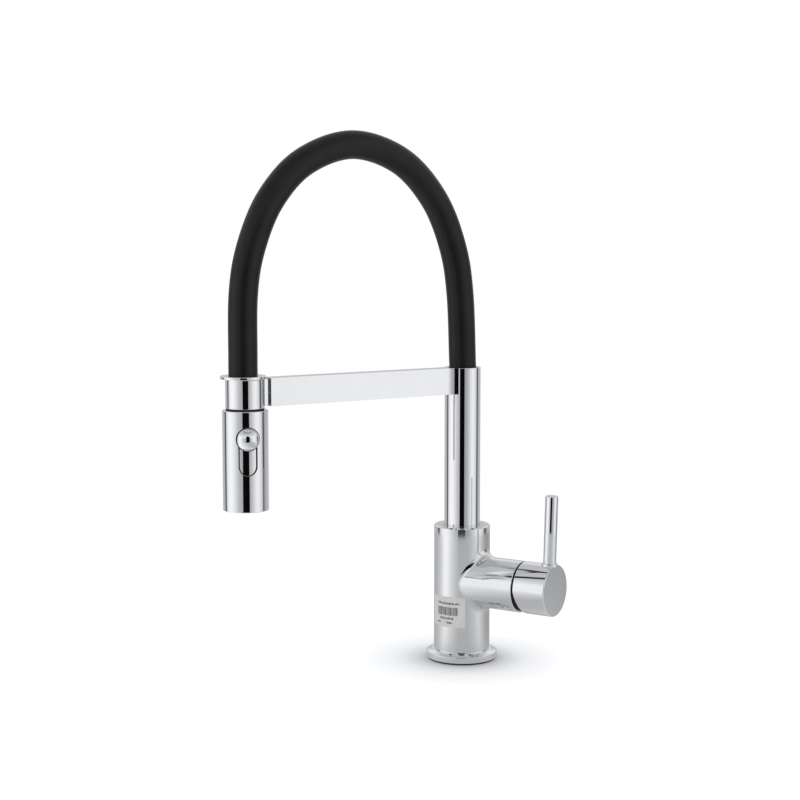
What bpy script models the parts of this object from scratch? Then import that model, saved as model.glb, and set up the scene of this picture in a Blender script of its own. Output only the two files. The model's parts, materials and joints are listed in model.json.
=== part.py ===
"""Single-lever kitchen faucet with a pull-down spray head on an arched hose.

Metres, +Z up. The origin is the centre of the base on the deck, the lever's branch points along +X, and
the spout is shown swung SPOUT_SWING clockwise from -Y.
"""

import math

import bmesh
import bpy
from mathutils import Vector

# ---------------------------------------------------------------- driving dimensions
CLEARANCE = 0.0003  # between pieces that touch or slide on the real object
WATERWAY_RADIUS = 0.0025
ROUND = 32  # sides of the large turned pieces
SMALL_ROUND = 20  # sides of the turned pieces inside
TINY_ROUND = 10  # sides of screws, pins and ports
SEAL_SIDES = 5  # sides of a seal's section
EDGE = 0.0005  # bevel of a turned edge
OVERRUN = 0.0100  # how far a cutter reaches past the face it opens
DRILL_OVERRUN = 0.0010

GASKET_THICKNESS = 0.0012
GASKET_INSET = 0.0012
FLANGE_RADIUS = 0.0278
FLANGE_THICKNESS = 0.0050
FLANGE_CROWN = 0.0016
FLANGE_LIP = 0.0012

BODY_RADIUS = 0.0220
BODY_TOP = 0.1070
BODY_CHAMFER = 0.0010
BODY_SPIGOT_RADIUS = 0.0190
RECESS_RADIUS = 0.0155
RECESS_DEPTH = 0.0340
SOCKET_RADIUS = 0.0050
SOCKET_DEPTH = 0.0120
SOCKET_SPACING = 0.0140
SOCKET_SET_BACK = 0.0030
STUD_RADIUS = 0.0039
STUD_OFFSET = -0.0090
DISC_PORT_RATIO = 0.8

LABEL_WIDTH = 0.0300
LABEL_HEIGHT = 0.0240
LABEL_CENTRE = 0.0405
LABEL_TURN = math.radians(-92)
LABEL_THICKNESS = 0.00015
LABEL_GAP = 0.00015

BRANCH_HEIGHT = 0.0630
BRANCH_RADIUS = 0.0200
BRANCH_REACH = 0.0545
CARTRIDGE_RADIUS = 0.0137
CARTRIDGE_WALL = 0.0022
CARTRIDGE_SEAT = 0.0240
SEAL_THICKNESS = 0.0009
CARTRIDGE_BASE_THICKNESS = 0.0030
CERAMIC_THICKNESS = 0.0020
FIXED_DISC_RADIUS = 0.0110
MOVING_DISC_RADIUS = 0.0084
DISC_CARRIER_THICKNESS = 0.0046
ROTOR_LENGTH = 0.0094
ROTOR_RADIUS = 0.0110
PIVOT_FROM_ROTOR_FRONT = 0.0040
PIVOT_PIN_RADIUS = 0.00125
PORT_OFFSET = 0.0070
PORT_RISE = 0.0060
OUTLET_RISE = 0.0080
NUT_THICKNESS = 0.0036
NUT_BORE = 0.0095
STEM_RADIUS = 0.0040
STEM_NECK_RADIUS = 0.0015
STEM_BALL_RADIUS = 0.0022
STEM_BALL_PLAY = 0.0005
STEM_SHOULDER = 0.0014
STEM_INTO_CAP = 0.0020
PIN_SHORT = 0.0008
MOVING_RECESS = 0.6

CAP_GAP = 0.0015
CAP_LENGTH = 0.0265
CAP_RADIUS = 0.0200
CAP_WALL = 0.0028
CAP_END_THICKNESS = 0.0085
CAP_BOSS_RADIUS = 0.0090
CAP_BOSS_LENGTH = 0.0090
CAP_EDGE = 0.0008
RELIEF_ANGLE = math.radians(13)
GLIDE_RING_THICKNESS = 0.0005
GLIDE_RING_INSET = 0.0012
ROD_RADIUS = 0.0050
ROD_TOP = 0.1360
ROD_SETBACK = 0.0056
ROD_LEAN = math.radians(1.5)
ROD_DEPTH = 0.0070
ROD_SEAT_RADIUS = 0.0064
ROD_SEAT_HEIGHT = 0.0012
ROD_SEAT_OVERLAP = 0.0020
SET_SCREW_RADIUS = 0.0020

SPOUT_SWING = math.radians(24.4)
TUBE_RADIUS = 0.0140
TUBE_WALL = 0.0018
TUBE_TOP = 0.2310
TUBE_FOOT = 0.0185
BUSH_WALL = 0.0016
BUSH_LENGTH = 0.0040
GROOVE_DEPTH = 0.0009
GROOVE_WIDTH = 0.0058
SPIGOT_RADIUS = 0.0122
SPIGOT_LENGTH = 0.0195
SPIGOT_BORE = 0.0045
SPIGOT_CHAMBER = 0.0040
O_RING_SECTION = 0.0010
RETAINING_SCREW_RADIUS = 0.0025
RETAINING_SCREW_INSET = 0.0010
SCREW_KEY_RADIUS = 0.0013
SCREW_KEY_DEPTH = 0.0025
LOWER_RING_STATION = 0.25
UPPER_RING_STATION = 0.70

ARM_WIDTH = 0.0120
ARM_HEIGHT = 0.0204
ARM_FILLET = 0.0120
ARM_END_GAP = 0.0040
LUG_WIDTH = 0.0070
LUG_INSET = 0.0006
TENON_WIDTH = 0.0056
TENON_HEIGHT = 0.0110
TENON_LENGTH = 0.0100
MAGNET_WIDTH = 0.0030
MAGNET_HEIGHT = 0.0080
MAGNET_LENGTH = 0.0080

REACH = 0.1912
SHEATH_WALL = 0.0029
HOSE_PLAY = 0.0016
HOSE_WALL = 0.0022
SHEATH_TUCK = 0.0112
GUIDE_WALL = 0.0011
HOSE_NUT_GAP = 0.0022
HOSE_NUT_HEIGHT = 0.0090
FERRULE_WALL = 0.0014
FERRULE_LENGTH = 0.0120
UPPER_FERRULE_LENGTH = 0.0055

NECK_RADIUS = 0.0141
NECK_WALL = 0.0026
NECK_FLOOR = 0.0036
END_CAP_RADIUS = 0.0166
END_CAP_THICKNESS = 0.0022
END_CAP_FLOOR = 0.0009
SHEATH_END_OFFSET = 0.0014
SHEATH_DROP = 0.0090
HOSE_PASSAGE_FIT = 0.0013
COUPLING_RADIUS = 0.0090
COUPLING_FLANGE = 0.0027
COUPLING_LENGTH = 0.0118
COUPLING_BORE = 0.0042
COUPLING_SEAL_SECTION = 0.0007
COUPLING_SEAL_RISE = 0.0022
VALVE_RISE = 0.0010
VALVE_LENGTH = 0.0080
VALVE_WALL = 0.0020
CLIP_THICKNESS = 0.0014
CLIP_GROOVE_DEPTH = 0.0009
CLIP_FLANGE = 0.0024

HEAD_RADIUS = 0.0165
HEAD_WALL = 0.0008
HEAD_BOTTOM = 0.1362
HEAD_TOP = 0.2086
HEAD_TOP_THICKNESS = 0.0030
HEAD_EDGE = 0.0008
DIVERTER_TURN = math.radians(69)
KNOB_HEIGHT = 0.1890
KNOB_RADIUS = 0.0086
KNOB_CURVE = 0.0090
KNOB_RISE = 0.0061
KNOB_TRAVEL = 0.0180
SLOT_WIDTH = 0.0140
SLOT_BOTTOM = 0.1626
SLOT_FIT = 0.00045
SHUTTER_WALL = 0.0012
SHUTTER_OVERLAP = 0.0014
SHUTTER_TOP = 0.2020
DRIVE_PIN_RADIUS = 0.0030
DRIVE_PIN_INTO_SPOOL = 0.0010
SPOOL_RADIUS = 0.0082
SPOOL_BORE = 0.0040
SPOOL_ABOVE = 0.0058
SPOOL_BELOW = 0.0092
SPOOL_SEAL_SECTION = 0.00045
SPOOL_SEAL_RISE = 0.0024
FACE_RECESS = 0.0006
FACE_THICKNESS = 0.0036
NOZZLE_COUNT = 12
NOZZLE_RADIUS = 0.0007
NOZZLE_CIRCLE = 0.0110
AERATOR_RADIUS = 0.0070
AERATOR_WALL = 0.0010
AERATOR_LENGTH = 0.0085
AERATOR_RECESS = 0.0004
AERATOR_LIP = 0.0008
SCREEN_THICKNESS = 0.0010
SCREEN_HOLE_RADIUS = 0.0011
SCREEN_HOLE_CIRCLE = 0.0036
SCREEN_HOLES = 6

# Where the arch of the hose passes above the column's top: (distance out from the column, height above it).
ARCH = (
    (0.0028, 0.0565),
    (0.0100, 0.0935),
    (0.0275, 0.1295),
    (0.0580, 0.1576),
    (0.1000, 0.1685),
    (0.1410, 0.1553),
    (0.1688, 0.1283),
    (0.1851, 0.0941),
    (0.1918, 0.0601),
)
ARCH_STEPS = 2  # lengths of hose between two points of the arch

# ---------------------------------------------------------------- sizes that follow
FLANGE_BOTTOM = GASKET_THICKNESS + CLEARANCE
FLANGE_TOP = FLANGE_BOTTOM + FLANGE_THICKNESS
BODY_SEAT = FLANGE_TOP + FLANGE_CROWN + CLEARANCE
TUBE_BORE = TUBE_RADIUS - TUBE_WALL
TUBE_BOTTOM = BODY_TOP - TUBE_FOOT
SHEATH_RADIUS = TUBE_BORE - GUIDE_WALL - 2 * CLEARANCE
SHEATH_BORE = SHEATH_RADIUS - SHEATH_WALL
HOSE_RADIUS = SHEATH_BORE - HOSE_PLAY
HOSE_BORE = HOSE_RADIUS - HOSE_WALL
HOSE_NUT_RADIUS = TUBE_BORE - HOSE_NUT_GAP
BUSH_BORE_FLOOR = TUBE_BOTTOM - CLEARANCE * 3
BUSH_INNER = TUBE_RADIUS + CLEARANCE
BUSH_OUTER = BUSH_INNER + BUSH_WALL
BUSH_BORE = BUSH_OUTER + CLEARANCE
GROOVE_BOTTOM = TUBE_BOTTOM + BUSH_LENGTH + CLEARANCE
SPIGOT_BOTTOM = TUBE_BOTTOM - SPIGOT_LENGTH
CHAMBER_FLOOR = SPIGOT_BOTTOM - SPIGOT_CHAMBER
HOSE_FOOT = TUBE_BOTTOM + TUBE_RADIUS
ARM_BOTTOM = TUBE_TOP - ARM_HEIGHT
ARM_END = REACH - NECK_RADIUS - ARM_END_GAP
SHEATH_END = TUBE_TOP + CLEARANCE + END_CAP_FLOOR + CLEARANCE
SHEATH_REACH = REACH + SHEATH_END_OFFSET
NECK_TOP = TUBE_TOP - CLEARANCE
NECK_BOTTOM = HEAD_TOP + CLEARANCE
COUPLING_SEAT = NECK_BOTTOM + NECK_FLOOR + CLEARANCE
COUPLING_BOTTOM = NECK_BOTTOM - COUPLING_LENGTH
HOSE_HEAD_END = COUPLING_SEAT + COUPLING_FLANGE + CLEARANCE
HEAD_BORE = HEAD_RADIUS - HEAD_WALL
SHUTTER_OUTER = HEAD_BORE - CLEARANCE
SHUTTER_INNER = SHUTTER_OUTER - SHUTTER_WALL
SHUTTER_BOTTOM = SLOT_BOTTOM - SHUTTER_OVERLAP
INNER_BODY_RADIUS = SHUTTER_INNER - CLEARANCE
FACE_BOTTOM = HEAD_BOTTOM + FACE_RECESS
FACE_TOP = FACE_BOTTOM + FACE_THICKNESS
INNER_BODY_BOTTOM = FACE_TOP + CLEARANCE
INNER_FLANGE_TOP = SHUTTER_BOTTOM - KNOB_TRAVEL - CLEARANCE
CLIP_TOP = HEAD_TOP - HEAD_TOP_THICKNESS - CLEARANCE
CLIP_BOTTOM = CLIP_TOP - CLIP_THICKNESS
INNER_BODY_TOP = CLIP_BOTTOM - CLEARANCE

# Along the branch's axis, from the centre line of the body.
BASE_PLATE = CARTRIDGE_SEAT + SEAL_THICKNESS + 2 * CLEARANCE
FIXED_DISC = BASE_PLATE + CARTRIDGE_BASE_THICKNESS + CLEARANCE
MOVING_DISC = FIXED_DISC + CERAMIC_THICKNESS + CLEARANCE
DISC_CARRIER = MOVING_DISC + CERAMIC_THICKNESS + CLEARANCE
ROTOR = DISC_CARRIER + DISC_CARRIER_THICKNESS + CLEARANCE
ROTOR_FRONT = ROTOR + ROTOR_LENGTH
HOUSING_LIP = ROTOR_FRONT + CLEARANCE
HOUSING_FRONT = BRANCH_REACH - NUT_THICKNESS - 2 * CLEARANCE
PIVOT = ROTOR_FRONT - PIVOT_FROM_ROTOR_FRONT
STEM_BALL = DISC_CARRIER + DISC_CARRIER_THICKNESS / 2
CAP_OPEN = BRANCH_REACH + CAP_GAP
CAP_END = CAP_OPEN + CAP_LENGTH
CAP_FLOOR = CAP_END - CAP_END_THICKNESS
STEM_END = CAP_FLOOR + STEM_INTO_CAP
ROD_STATION = CAP_END - ROD_SETBACK


# ---------------------------------------------------------------- tools
def clear_scene():
    for obj in list(bpy.data.objects):
        bpy.data.objects.remove(obj, do_unlink=True)


def material(name, colour, roughness, metallic=0.0):
    made = bpy.data.materials.new(name)
    made.use_nodes = True
    shader = made.node_tree.nodes["Principled BSDF"]
    shader.inputs["Base Color"].default_value = (*colour, 1.0)
    shader.inputs["Roughness"].default_value = roughness
    shader.inputs["Metallic"].default_value = metallic
    made.diffuse_color = (*colour, 1.0)
    return made


def axis_empty(name, parent=None, location=(0, 0, 0), rotation=(0, 0, 0)):
    empty = bpy.data.objects.new(name, None)
    empty.empty_display_size = 0.01
    bpy.context.scene.collection.objects.link(empty)
    empty.parent = parent
    empty.location = location
    empty.rotation_euler = rotation
    return empty


def add_object(name, mesh, parent, surface=None, location=(0, 0, 0), rotation=(0, 0, 0)):
    obj = bpy.data.objects.new(name, mesh)
    bpy.context.scene.collection.objects.link(obj)
    obj.parent = parent
    obj.location = location
    obj.rotation_euler = rotation
    if surface:
        mesh.materials.append(surface)
    return obj


def finished_mesh(name, shape):
    """The bmesh as a mesh, with its faces outwards and its round sides smooth."""
    bmesh.ops.remove_doubles(shape, verts=shape.verts, dist=1e-7)
    bmesh.ops.recalc_face_normals(shape, faces=shape.faces)
    if shape.calc_volume(signed=True) < 0:
        bmesh.ops.reverse_faces(shape, faces=shape.faces)
    mesh = bpy.data.meshes.new(name)
    shape.to_mesh(mesh)
    shape.free()
    mesh.shade_smooth()
    mesh.set_sharp_from_angle(angle=math.radians(30))
    return mesh


def turned_mesh(name, profile, sides):
    """A profile of (radius, height) turned about Z: a closed ring, or a line from the axis to the axis."""
    shape = bmesh.new()
    points = [shape.verts.new((radius, 0, height)) for radius, height in profile]
    edges = [shape.edges.new(pair) for pair in zip(points, points[1:])]
    on_axis = profile[0][0] == 0 and profile[-1][0] == 0
    if not on_axis:
        edges.append(shape.edges.new((points[-1], points[0])))
    bmesh.ops.spin(
        shape,
        geom=points + edges,
        axis=(0, 0, 1),
        cent=(0, 0, 0),
        angle=2 * math.pi,
        steps=sides,
        use_merge=True,
    )
    return finished_mesh(name, shape)


def turned(name, profile, parent, surface=None, sides=SMALL_ROUND, location=(0, 0, 0), rotation=(0, 0, 0)):
    return add_object(name, turned_mesh(name, profile, sides), parent, surface, location, rotation)


def ring_profile(inner, outer, low, high):
    return ((inner, low), (outer, low), (outer, high), (inner, high))


def disc_profile(radius, low, high):
    return ((0, low), (radius, low), (radius, high), (0, high))


def o_ring(name, radius, section, height, parent, surface, sides=SMALL_ROUND):
    profile = [
        (radius + section * math.cos(turn), height + section * math.sin(turn))
        for turn in (math.tau * step / SEAL_SIDES for step in range(SEAL_SIDES))
    ]
    return turned(name, profile, parent, surface, sides)


def prism(name, outline, low, high, parent, surface=None, rotation=(0, 0, 0), location=(0, 0, 0)):
    """A flat outline of (x, y) points, raised from low to high."""
    shape = bmesh.new()
    face = shape.faces.new([shape.verts.new((x, y, low)) for x, y in outline])
    raised = bmesh.ops.extrude_face_region(shape, geom=[face])["geom"]
    rise = [item for item in raised if isinstance(item, bmesh.types.BMVert)]
    bmesh.ops.translate(shape, verts=rise, vec=(0, 0, high - low))
    return add_object(name, finished_mesh(name, shape), parent, surface, location, rotation)


def box(name, low, high, parent, surface=None):
    outline = ((low[0], low[1]), (high[0], low[1]), (high[0], high[1]), (low[0], high[1]))
    return prism(name, outline, low[2], high[2], parent, surface)


def arc(centre, radius, start, end, steps):
    return [
        (
            centre[0] + radius * math.cos(start + (end - start) * step / steps),
            centre[1] + radius * math.sin(start + (end - start) * step / steps),
        )
        for step in range(steps + 1)
    ]


def hide_helper(obj):
    obj.hide_render = True
    obj.display_type = "WIRE"
    return obj


def combine(target, tool, operation, solver="EXACT"):
    change = target.modifiers.new(tool.name, "BOOLEAN")
    change.operation = operation
    change.solver = solver
    change.object = hide_helper(tool)
    return target


def cut(target, tool, solver="EXACT"):
    return combine(target, tool, "DIFFERENCE", solver)


def drill(target, name, radius, start, end, sides=TINY_ROUND, solver="EXACT"):
    """A round hole in the target between two points of its parent's frame."""
    start = Vector(start)
    run = Vector(end) - start
    tool = turned(
        name,
        disc_profile(radius, 0, run.length),
        target.parent,
        sides=sides,
        location=start,
        rotation=run.to_track_quat("Z", "Y").to_euler(),
    )
    return cut(target, tool, solver)


def rod_between(name, radius, start, end, parent, surface, sides=TINY_ROUND):
    start = Vector(start)
    run = Vector(end) - start
    return turned(
        name,
        disc_profile(radius, 0, run.length),
        parent,
        surface,
        sides,
        location=start,
        rotation=run.to_track_quat("Z", "Y").to_euler(),
    )


def smooth_route(points, steps):
    """The points with steps lengths between each two of them, on a curve that passes through them all."""
    ends = [2 * points[0] - points[1], *points, 2 * points[-1] - points[-2]]
    route = []
    for before, start, end, after in zip(ends, ends[1:], ends[2:], ends[3:]):
        leave = (end - before) / 2
        arrive = (after - start) / 2
        for step in range(steps):
            t = step / steps
            route.append(
                start * (2 * t**3 - 3 * t**2 + 1)
                + leave * (t**3 - 2 * t**2 + t)
                + end * (3 * t**2 - 2 * t**3)
                + arrive * (t**3 - t**2)
            )
    return [*route, points[-1]]


def hollow_hose(name, route, outer, bore, sides, parent, surface):
    """A tube with a bore, along a route of (out, up) points in the plane of the arch."""
    points = [Vector(point) for point in route]
    shape = bmesh.new()
    walls = []
    for radius in (outer, bore):
        rings = []
        for index, point in enumerate(points):
            along = points[min(index + 1, len(points) - 1)] - points[max(index - 1, 0)]
            along.normalize()
            across = Vector((along.y, -along.x))
            ring = []
            for step in range(sides):
                turn = math.tau * step / sides
                place = point + across * radius * math.cos(turn)
                ring.append(shape.verts.new((radius * math.sin(turn), -place.x, place.y)))
            rings.append(ring)
        walls.append(rings)
        for low, high in zip(rings, rings[1:]):
            for step in range(sides):
                after = (step + 1) % sides
                shape.faces.new((low[step], low[after], high[after], high[step]))
    for end in (0, -1):
        for step in range(sides):
            after = (step + 1) % sides
            outside = walls[0][end]
            inside = walls[1][end]
            shape.faces.new((outside[step], outside[after], inside[after], inside[step]))
    return add_object(name, finished_mesh(name, shape), parent, surface)


# ---------------------------------------------------------------- base and mixer body
def base(metal, rubber):
    gasket_radius = FLANGE_RADIUS - GASKET_INSET
    seat_bore = BODY_SPIGOT_RADIUS + CLEARANCE
    turned("base_gasket", ring_profile(seat_bore, gasket_radius, 0, GASKET_THICKNESS), None, rubber, ROUND)
    flange = (
        (seat_bore, FLANGE_BOTTOM),
        (FLANGE_RADIUS - EDGE, FLANGE_BOTTOM),
        (FLANGE_RADIUS, FLANGE_BOTTOM + EDGE),
        (FLANGE_RADIUS, FLANGE_TOP - EDGE),
        (FLANGE_RADIUS - EDGE, FLANGE_TOP),
        (BODY_RADIUS + FLANGE_LIP, FLANGE_TOP + FLANGE_CROWN),
        (seat_bore, FLANGE_TOP + FLANGE_CROWN),
    )
    turned("base_flange", flange, None, metal, ROUND)


def mixer_body(metal, branch_axis):
    shell = (
        (0, BODY_TOP),
        (BODY_RADIUS - BODY_CHAMFER, BODY_TOP),
        (BODY_RADIUS, BODY_TOP - BODY_CHAMFER),
        (BODY_RADIUS, BODY_SEAT),
        (BODY_SPIGOT_RADIUS, BODY_SEAT),
        (BODY_SPIGOT_RADIUS, FLANGE_BOTTOM),
        (0, FLANGE_BOTTOM),
    )
    body = turned("faucet_body", shell, None, metal, ROUND)
    branch = turned("branch_blank", disc_profile(BRANCH_RADIUS, 0, BRANCH_REACH), branch_axis, sides=ROUND)
    combine(body, branch, "UNION")
    cartridge_bore = disc_profile(CARTRIDGE_RADIUS + CLEARANCE, CARTRIDGE_SEAT, BRANCH_REACH + OVERRUN)
    cut(body, turned("cartridge_bore", cartridge_bore, branch_axis))
    top_bore = (
        (0, CHAMBER_FLOOR),
        (SPIGOT_RADIUS + CLEARANCE, CHAMBER_FLOOR),
        (SPIGOT_RADIUS + CLEARANCE, BUSH_BORE_FLOOR),
        (BUSH_BORE, BUSH_BORE_FLOOR),
        (BUSH_BORE, BODY_TOP + OVERRUN),
        (0, BODY_TOP + OVERRUN),
    )
    cut(body, turned("top_bore", top_bore, None))
    cut(body, turned("underside_recess", disc_profile(RECESS_RADIUS, -OVERRUN, RECESS_DEPTH), None))
    inlet_level = BRANCH_HEIGHT - PORT_RISE
    socket_top = RECESS_DEPTH + SOCKET_DEPTH
    socket_floor = RECESS_DEPTH - OVERRUN
    port_end = CARTRIDGE_SEAT + DRILL_OVERRUN
    for side, end in ((-1, "hot"), (1, "cold")):
        y = side * SOCKET_SPACING / 2
        x = SOCKET_SET_BACK
        drill(body, f"{end}_socket", SOCKET_RADIUS, (x, y, socket_floor), (x, y, socket_top))
        drill(body, f"{end}_riser", WATERWAY_RADIUS, (x, y, socket_top - DRILL_OVERRUN), (x, y, inlet_level))
        start = (x - WATERWAY_RADIUS / 2, side * PORT_OFFSET, inlet_level)
        drill(body, f"{end}_port", WATERWAY_RADIUS, start, (port_end, side * PORT_OFFSET, inlet_level))
    outlet = BRANCH_HEIGHT + OUTLET_RISE
    drill(body, "outlet_port", WATERWAY_RADIUS, (0, 0, outlet), (port_end, 0, outlet))
    drill(body, "stud_socket", STUD_RADIUS, (STUD_OFFSET, 0, socket_floor), (STUD_OFFSET, 0, socket_top))
    screw_level = GROOVE_BOTTOM + GROOVE_WIDTH / 2
    drill(
        body,
        "retaining_screw_hole",
        RETAINING_SCREW_RADIUS + CLEARANCE,
        (0, TUBE_RADIUS, screw_level),
        (0, BODY_RADIUS + OVERRUN, screw_level),
    )
    return body


def shipping_label(paper):
    """A curved sheet of paper on the body's side."""
    inner = BODY_RADIUS + LABEL_GAP
    outer = inner + LABEL_THICKNESS
    half = LABEL_WIDTH / 2 / inner
    outline = arc((0, 0), outer, -half, half, 12) + arc((0, 0), inner, half, -half, 12)
    low = LABEL_CENTRE - LABEL_HEIGHT / 2
    prism("paper_label", outline, low, low + LABEL_HEIGHT, None, paper, rotation=(0, 0, LABEL_TURN))


def swivel_seat(plastic, steel):
    lower = TUBE_BOTTOM
    upper = GROOVE_BOTTOM + GROOVE_WIDTH + CLEARANCE
    upper_top = BODY_TOP - EDGE
    lower_bush = ring_profile(BUSH_INNER, BUSH_OUTER, lower, lower + BUSH_LENGTH)
    upper_bush = ring_profile(BUSH_INNER, BUSH_OUTER, upper, upper_top)
    turned("swivel_bush_lower", lower_bush, None, plastic)
    turned("swivel_bush_upper", upper_bush, None, plastic)
    level = GROOVE_BOTTOM + GROOVE_WIDTH / 2
    tip = TUBE_RADIUS - GROOVE_DEPTH + CLEARANCE
    head = BODY_RADIUS - RETAINING_SCREW_INSET
    screw = rod_between(
        "spout_retaining_screw", RETAINING_SCREW_RADIUS, (0, tip, level), (0, head, level), None, steel
    )
    drill(
        screw,
        "retaining_screw_socket",
        SCREW_KEY_RADIUS,
        (0, head - SCREW_KEY_DEPTH, level),
        (0, head + DRILL_OVERRUN, level),
        6,
    )


# ---------------------------------------------------------------- cartridge and lever
def cartridge(branch_axis, plastic, ceramic, rubber, brass):
    """The still half of the mixing cartridge. In this frame +Z runs out along the branch and -X is up."""
    ports = {
        "hot": (PORT_RISE, -PORT_OFFSET),
        "cold": (PORT_RISE, PORT_OFFSET),
        "mixed": (-OUTLET_RISE, 0),
    }
    plate = turned(
        "cartridge_base",
        disc_profile(CARTRIDGE_RADIUS, BASE_PLATE, BASE_PLATE + CARTRIDGE_BASE_THICKNESS),
        branch_axis,
        plastic,
    )
    disc = turned(
        "fixed_ceramic_disc",
        disc_profile(FIXED_DISC_RADIUS, FIXED_DISC, FIXED_DISC + CERAMIC_THICKNESS),
        branch_axis,
        ceramic,
    )
    seal_section = SEAL_THICKNESS / 2
    disc_port = WATERWAY_RADIUS * DISC_PORT_RATIO
    for name, (x, y) in ports.items():
        drill(plate, f"plate_port_{name}", WATERWAY_RADIUS, (x, y, CARTRIDGE_SEAT), (x, y, FIXED_DISC))
        drill(disc, f"disc_port_{name}", disc_port, (x, y, BASE_PLATE), (x, y, DISC_CARRIER))
        seal = o_ring(
            f"port_seal_{name}",
            WATERWAY_RADIUS + CLEARANCE + seal_section,
            seal_section,
            0,
            branch_axis,
            rubber,
            TINY_ROUND,
        )
        seal.location = (x, y, CARTRIDGE_SEAT + CLEARANCE + seal_section)
    bore = CARTRIDGE_RADIUS - CARTRIDGE_WALL
    housing = (
        (bore, FIXED_DISC),
        (CARTRIDGE_RADIUS, FIXED_DISC),
        (CARTRIDGE_RADIUS, HOUSING_FRONT),
        (NUT_BORE, HOUSING_FRONT),
        (NUT_BORE, HOUSING_LIP),
        (bore, HOUSING_LIP),
    )
    turned("cartridge_housing", housing, branch_axis, plastic)
    nut_back = HOUSING_FRONT + CLEARANCE
    nut = ring_profile(NUT_BORE, CARTRIDGE_RADIUS, nut_back, nut_back + NUT_THICKNESS)
    turned("cartridge_nut", nut, branch_axis, brass)
    ring_back = BRANCH_REACH + CLEARANCE
    glide = ring_profile(
        CARTRIDGE_RADIUS + GLIDE_RING_INSET,
        CAP_RADIUS - GLIDE_RING_INSET,
        ring_back,
        ring_back + GLIDE_RING_THICKNESS,
    )
    turned("glide_ring", glide, branch_axis, rubber, ROUND)


def rotor(branch_axis, plastic, steel):
    """The part of the cartridge that turns with the lever, and the pin that the stem tips on."""
    piece = turned("cartridge_rotor", disc_profile(ROTOR_RADIUS, ROTOR, ROTOR_FRONT), branch_axis, plastic)
    half_width = STEM_RADIUS + CLEARANCE
    half_height = STEM_RADIUS + ROTOR_LENGTH * math.tan(RELIEF_ANGLE)
    slot = box(
        "stem_slot",
        (-half_height, -half_width, ROTOR - DRILL_OVERRUN),
        (half_height, half_width, ROTOR_FRONT + DRILL_OVERRUN),
        branch_axis,
    )
    cut(piece, slot)
    pin_end = ROTOR_RADIUS - PIN_SHORT
    hole_end = ROTOR_RADIUS + DRILL_OVERRUN
    drill(
        piece,
        "rotor_pin_hole",
        PIVOT_PIN_RADIUS + CLEARANCE,
        (0, -hole_end, PIVOT),
        (0, hole_end, PIVOT),
    )
    rod_between(
        "stem_pivot_pin", PIVOT_PIN_RADIUS, (0, -pin_end, PIVOT), (0, pin_end, PIVOT), branch_axis, steel
    )


def mixing_disc(branch_axis, ceramic, plastic):
    recess = MOVING_DISC_RADIUS * MOVING_RECESS
    disc = (
        (0, MOVING_DISC + CERAMIC_THICKNESS / 2),
        (recess, MOVING_DISC + CERAMIC_THICKNESS / 2),
        (recess, MOVING_DISC),
        (MOVING_DISC_RADIUS, MOVING_DISC),
        (MOVING_DISC_RADIUS, MOVING_DISC + CERAMIC_THICKNESS),
        (0, MOVING_DISC + CERAMIC_THICKNESS),
    )
    turned("moving_ceramic_disc", disc, branch_axis, ceramic)
    top = DISC_CARRIER + DISC_CARRIER_THICKNESS
    carrier = ring_profile(STEM_BALL_RADIUS + STEM_BALL_PLAY, MOVING_DISC_RADIUS, DISC_CARRIER, top)
    turned("disc_carrier", carrier, branch_axis, plastic)


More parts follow.
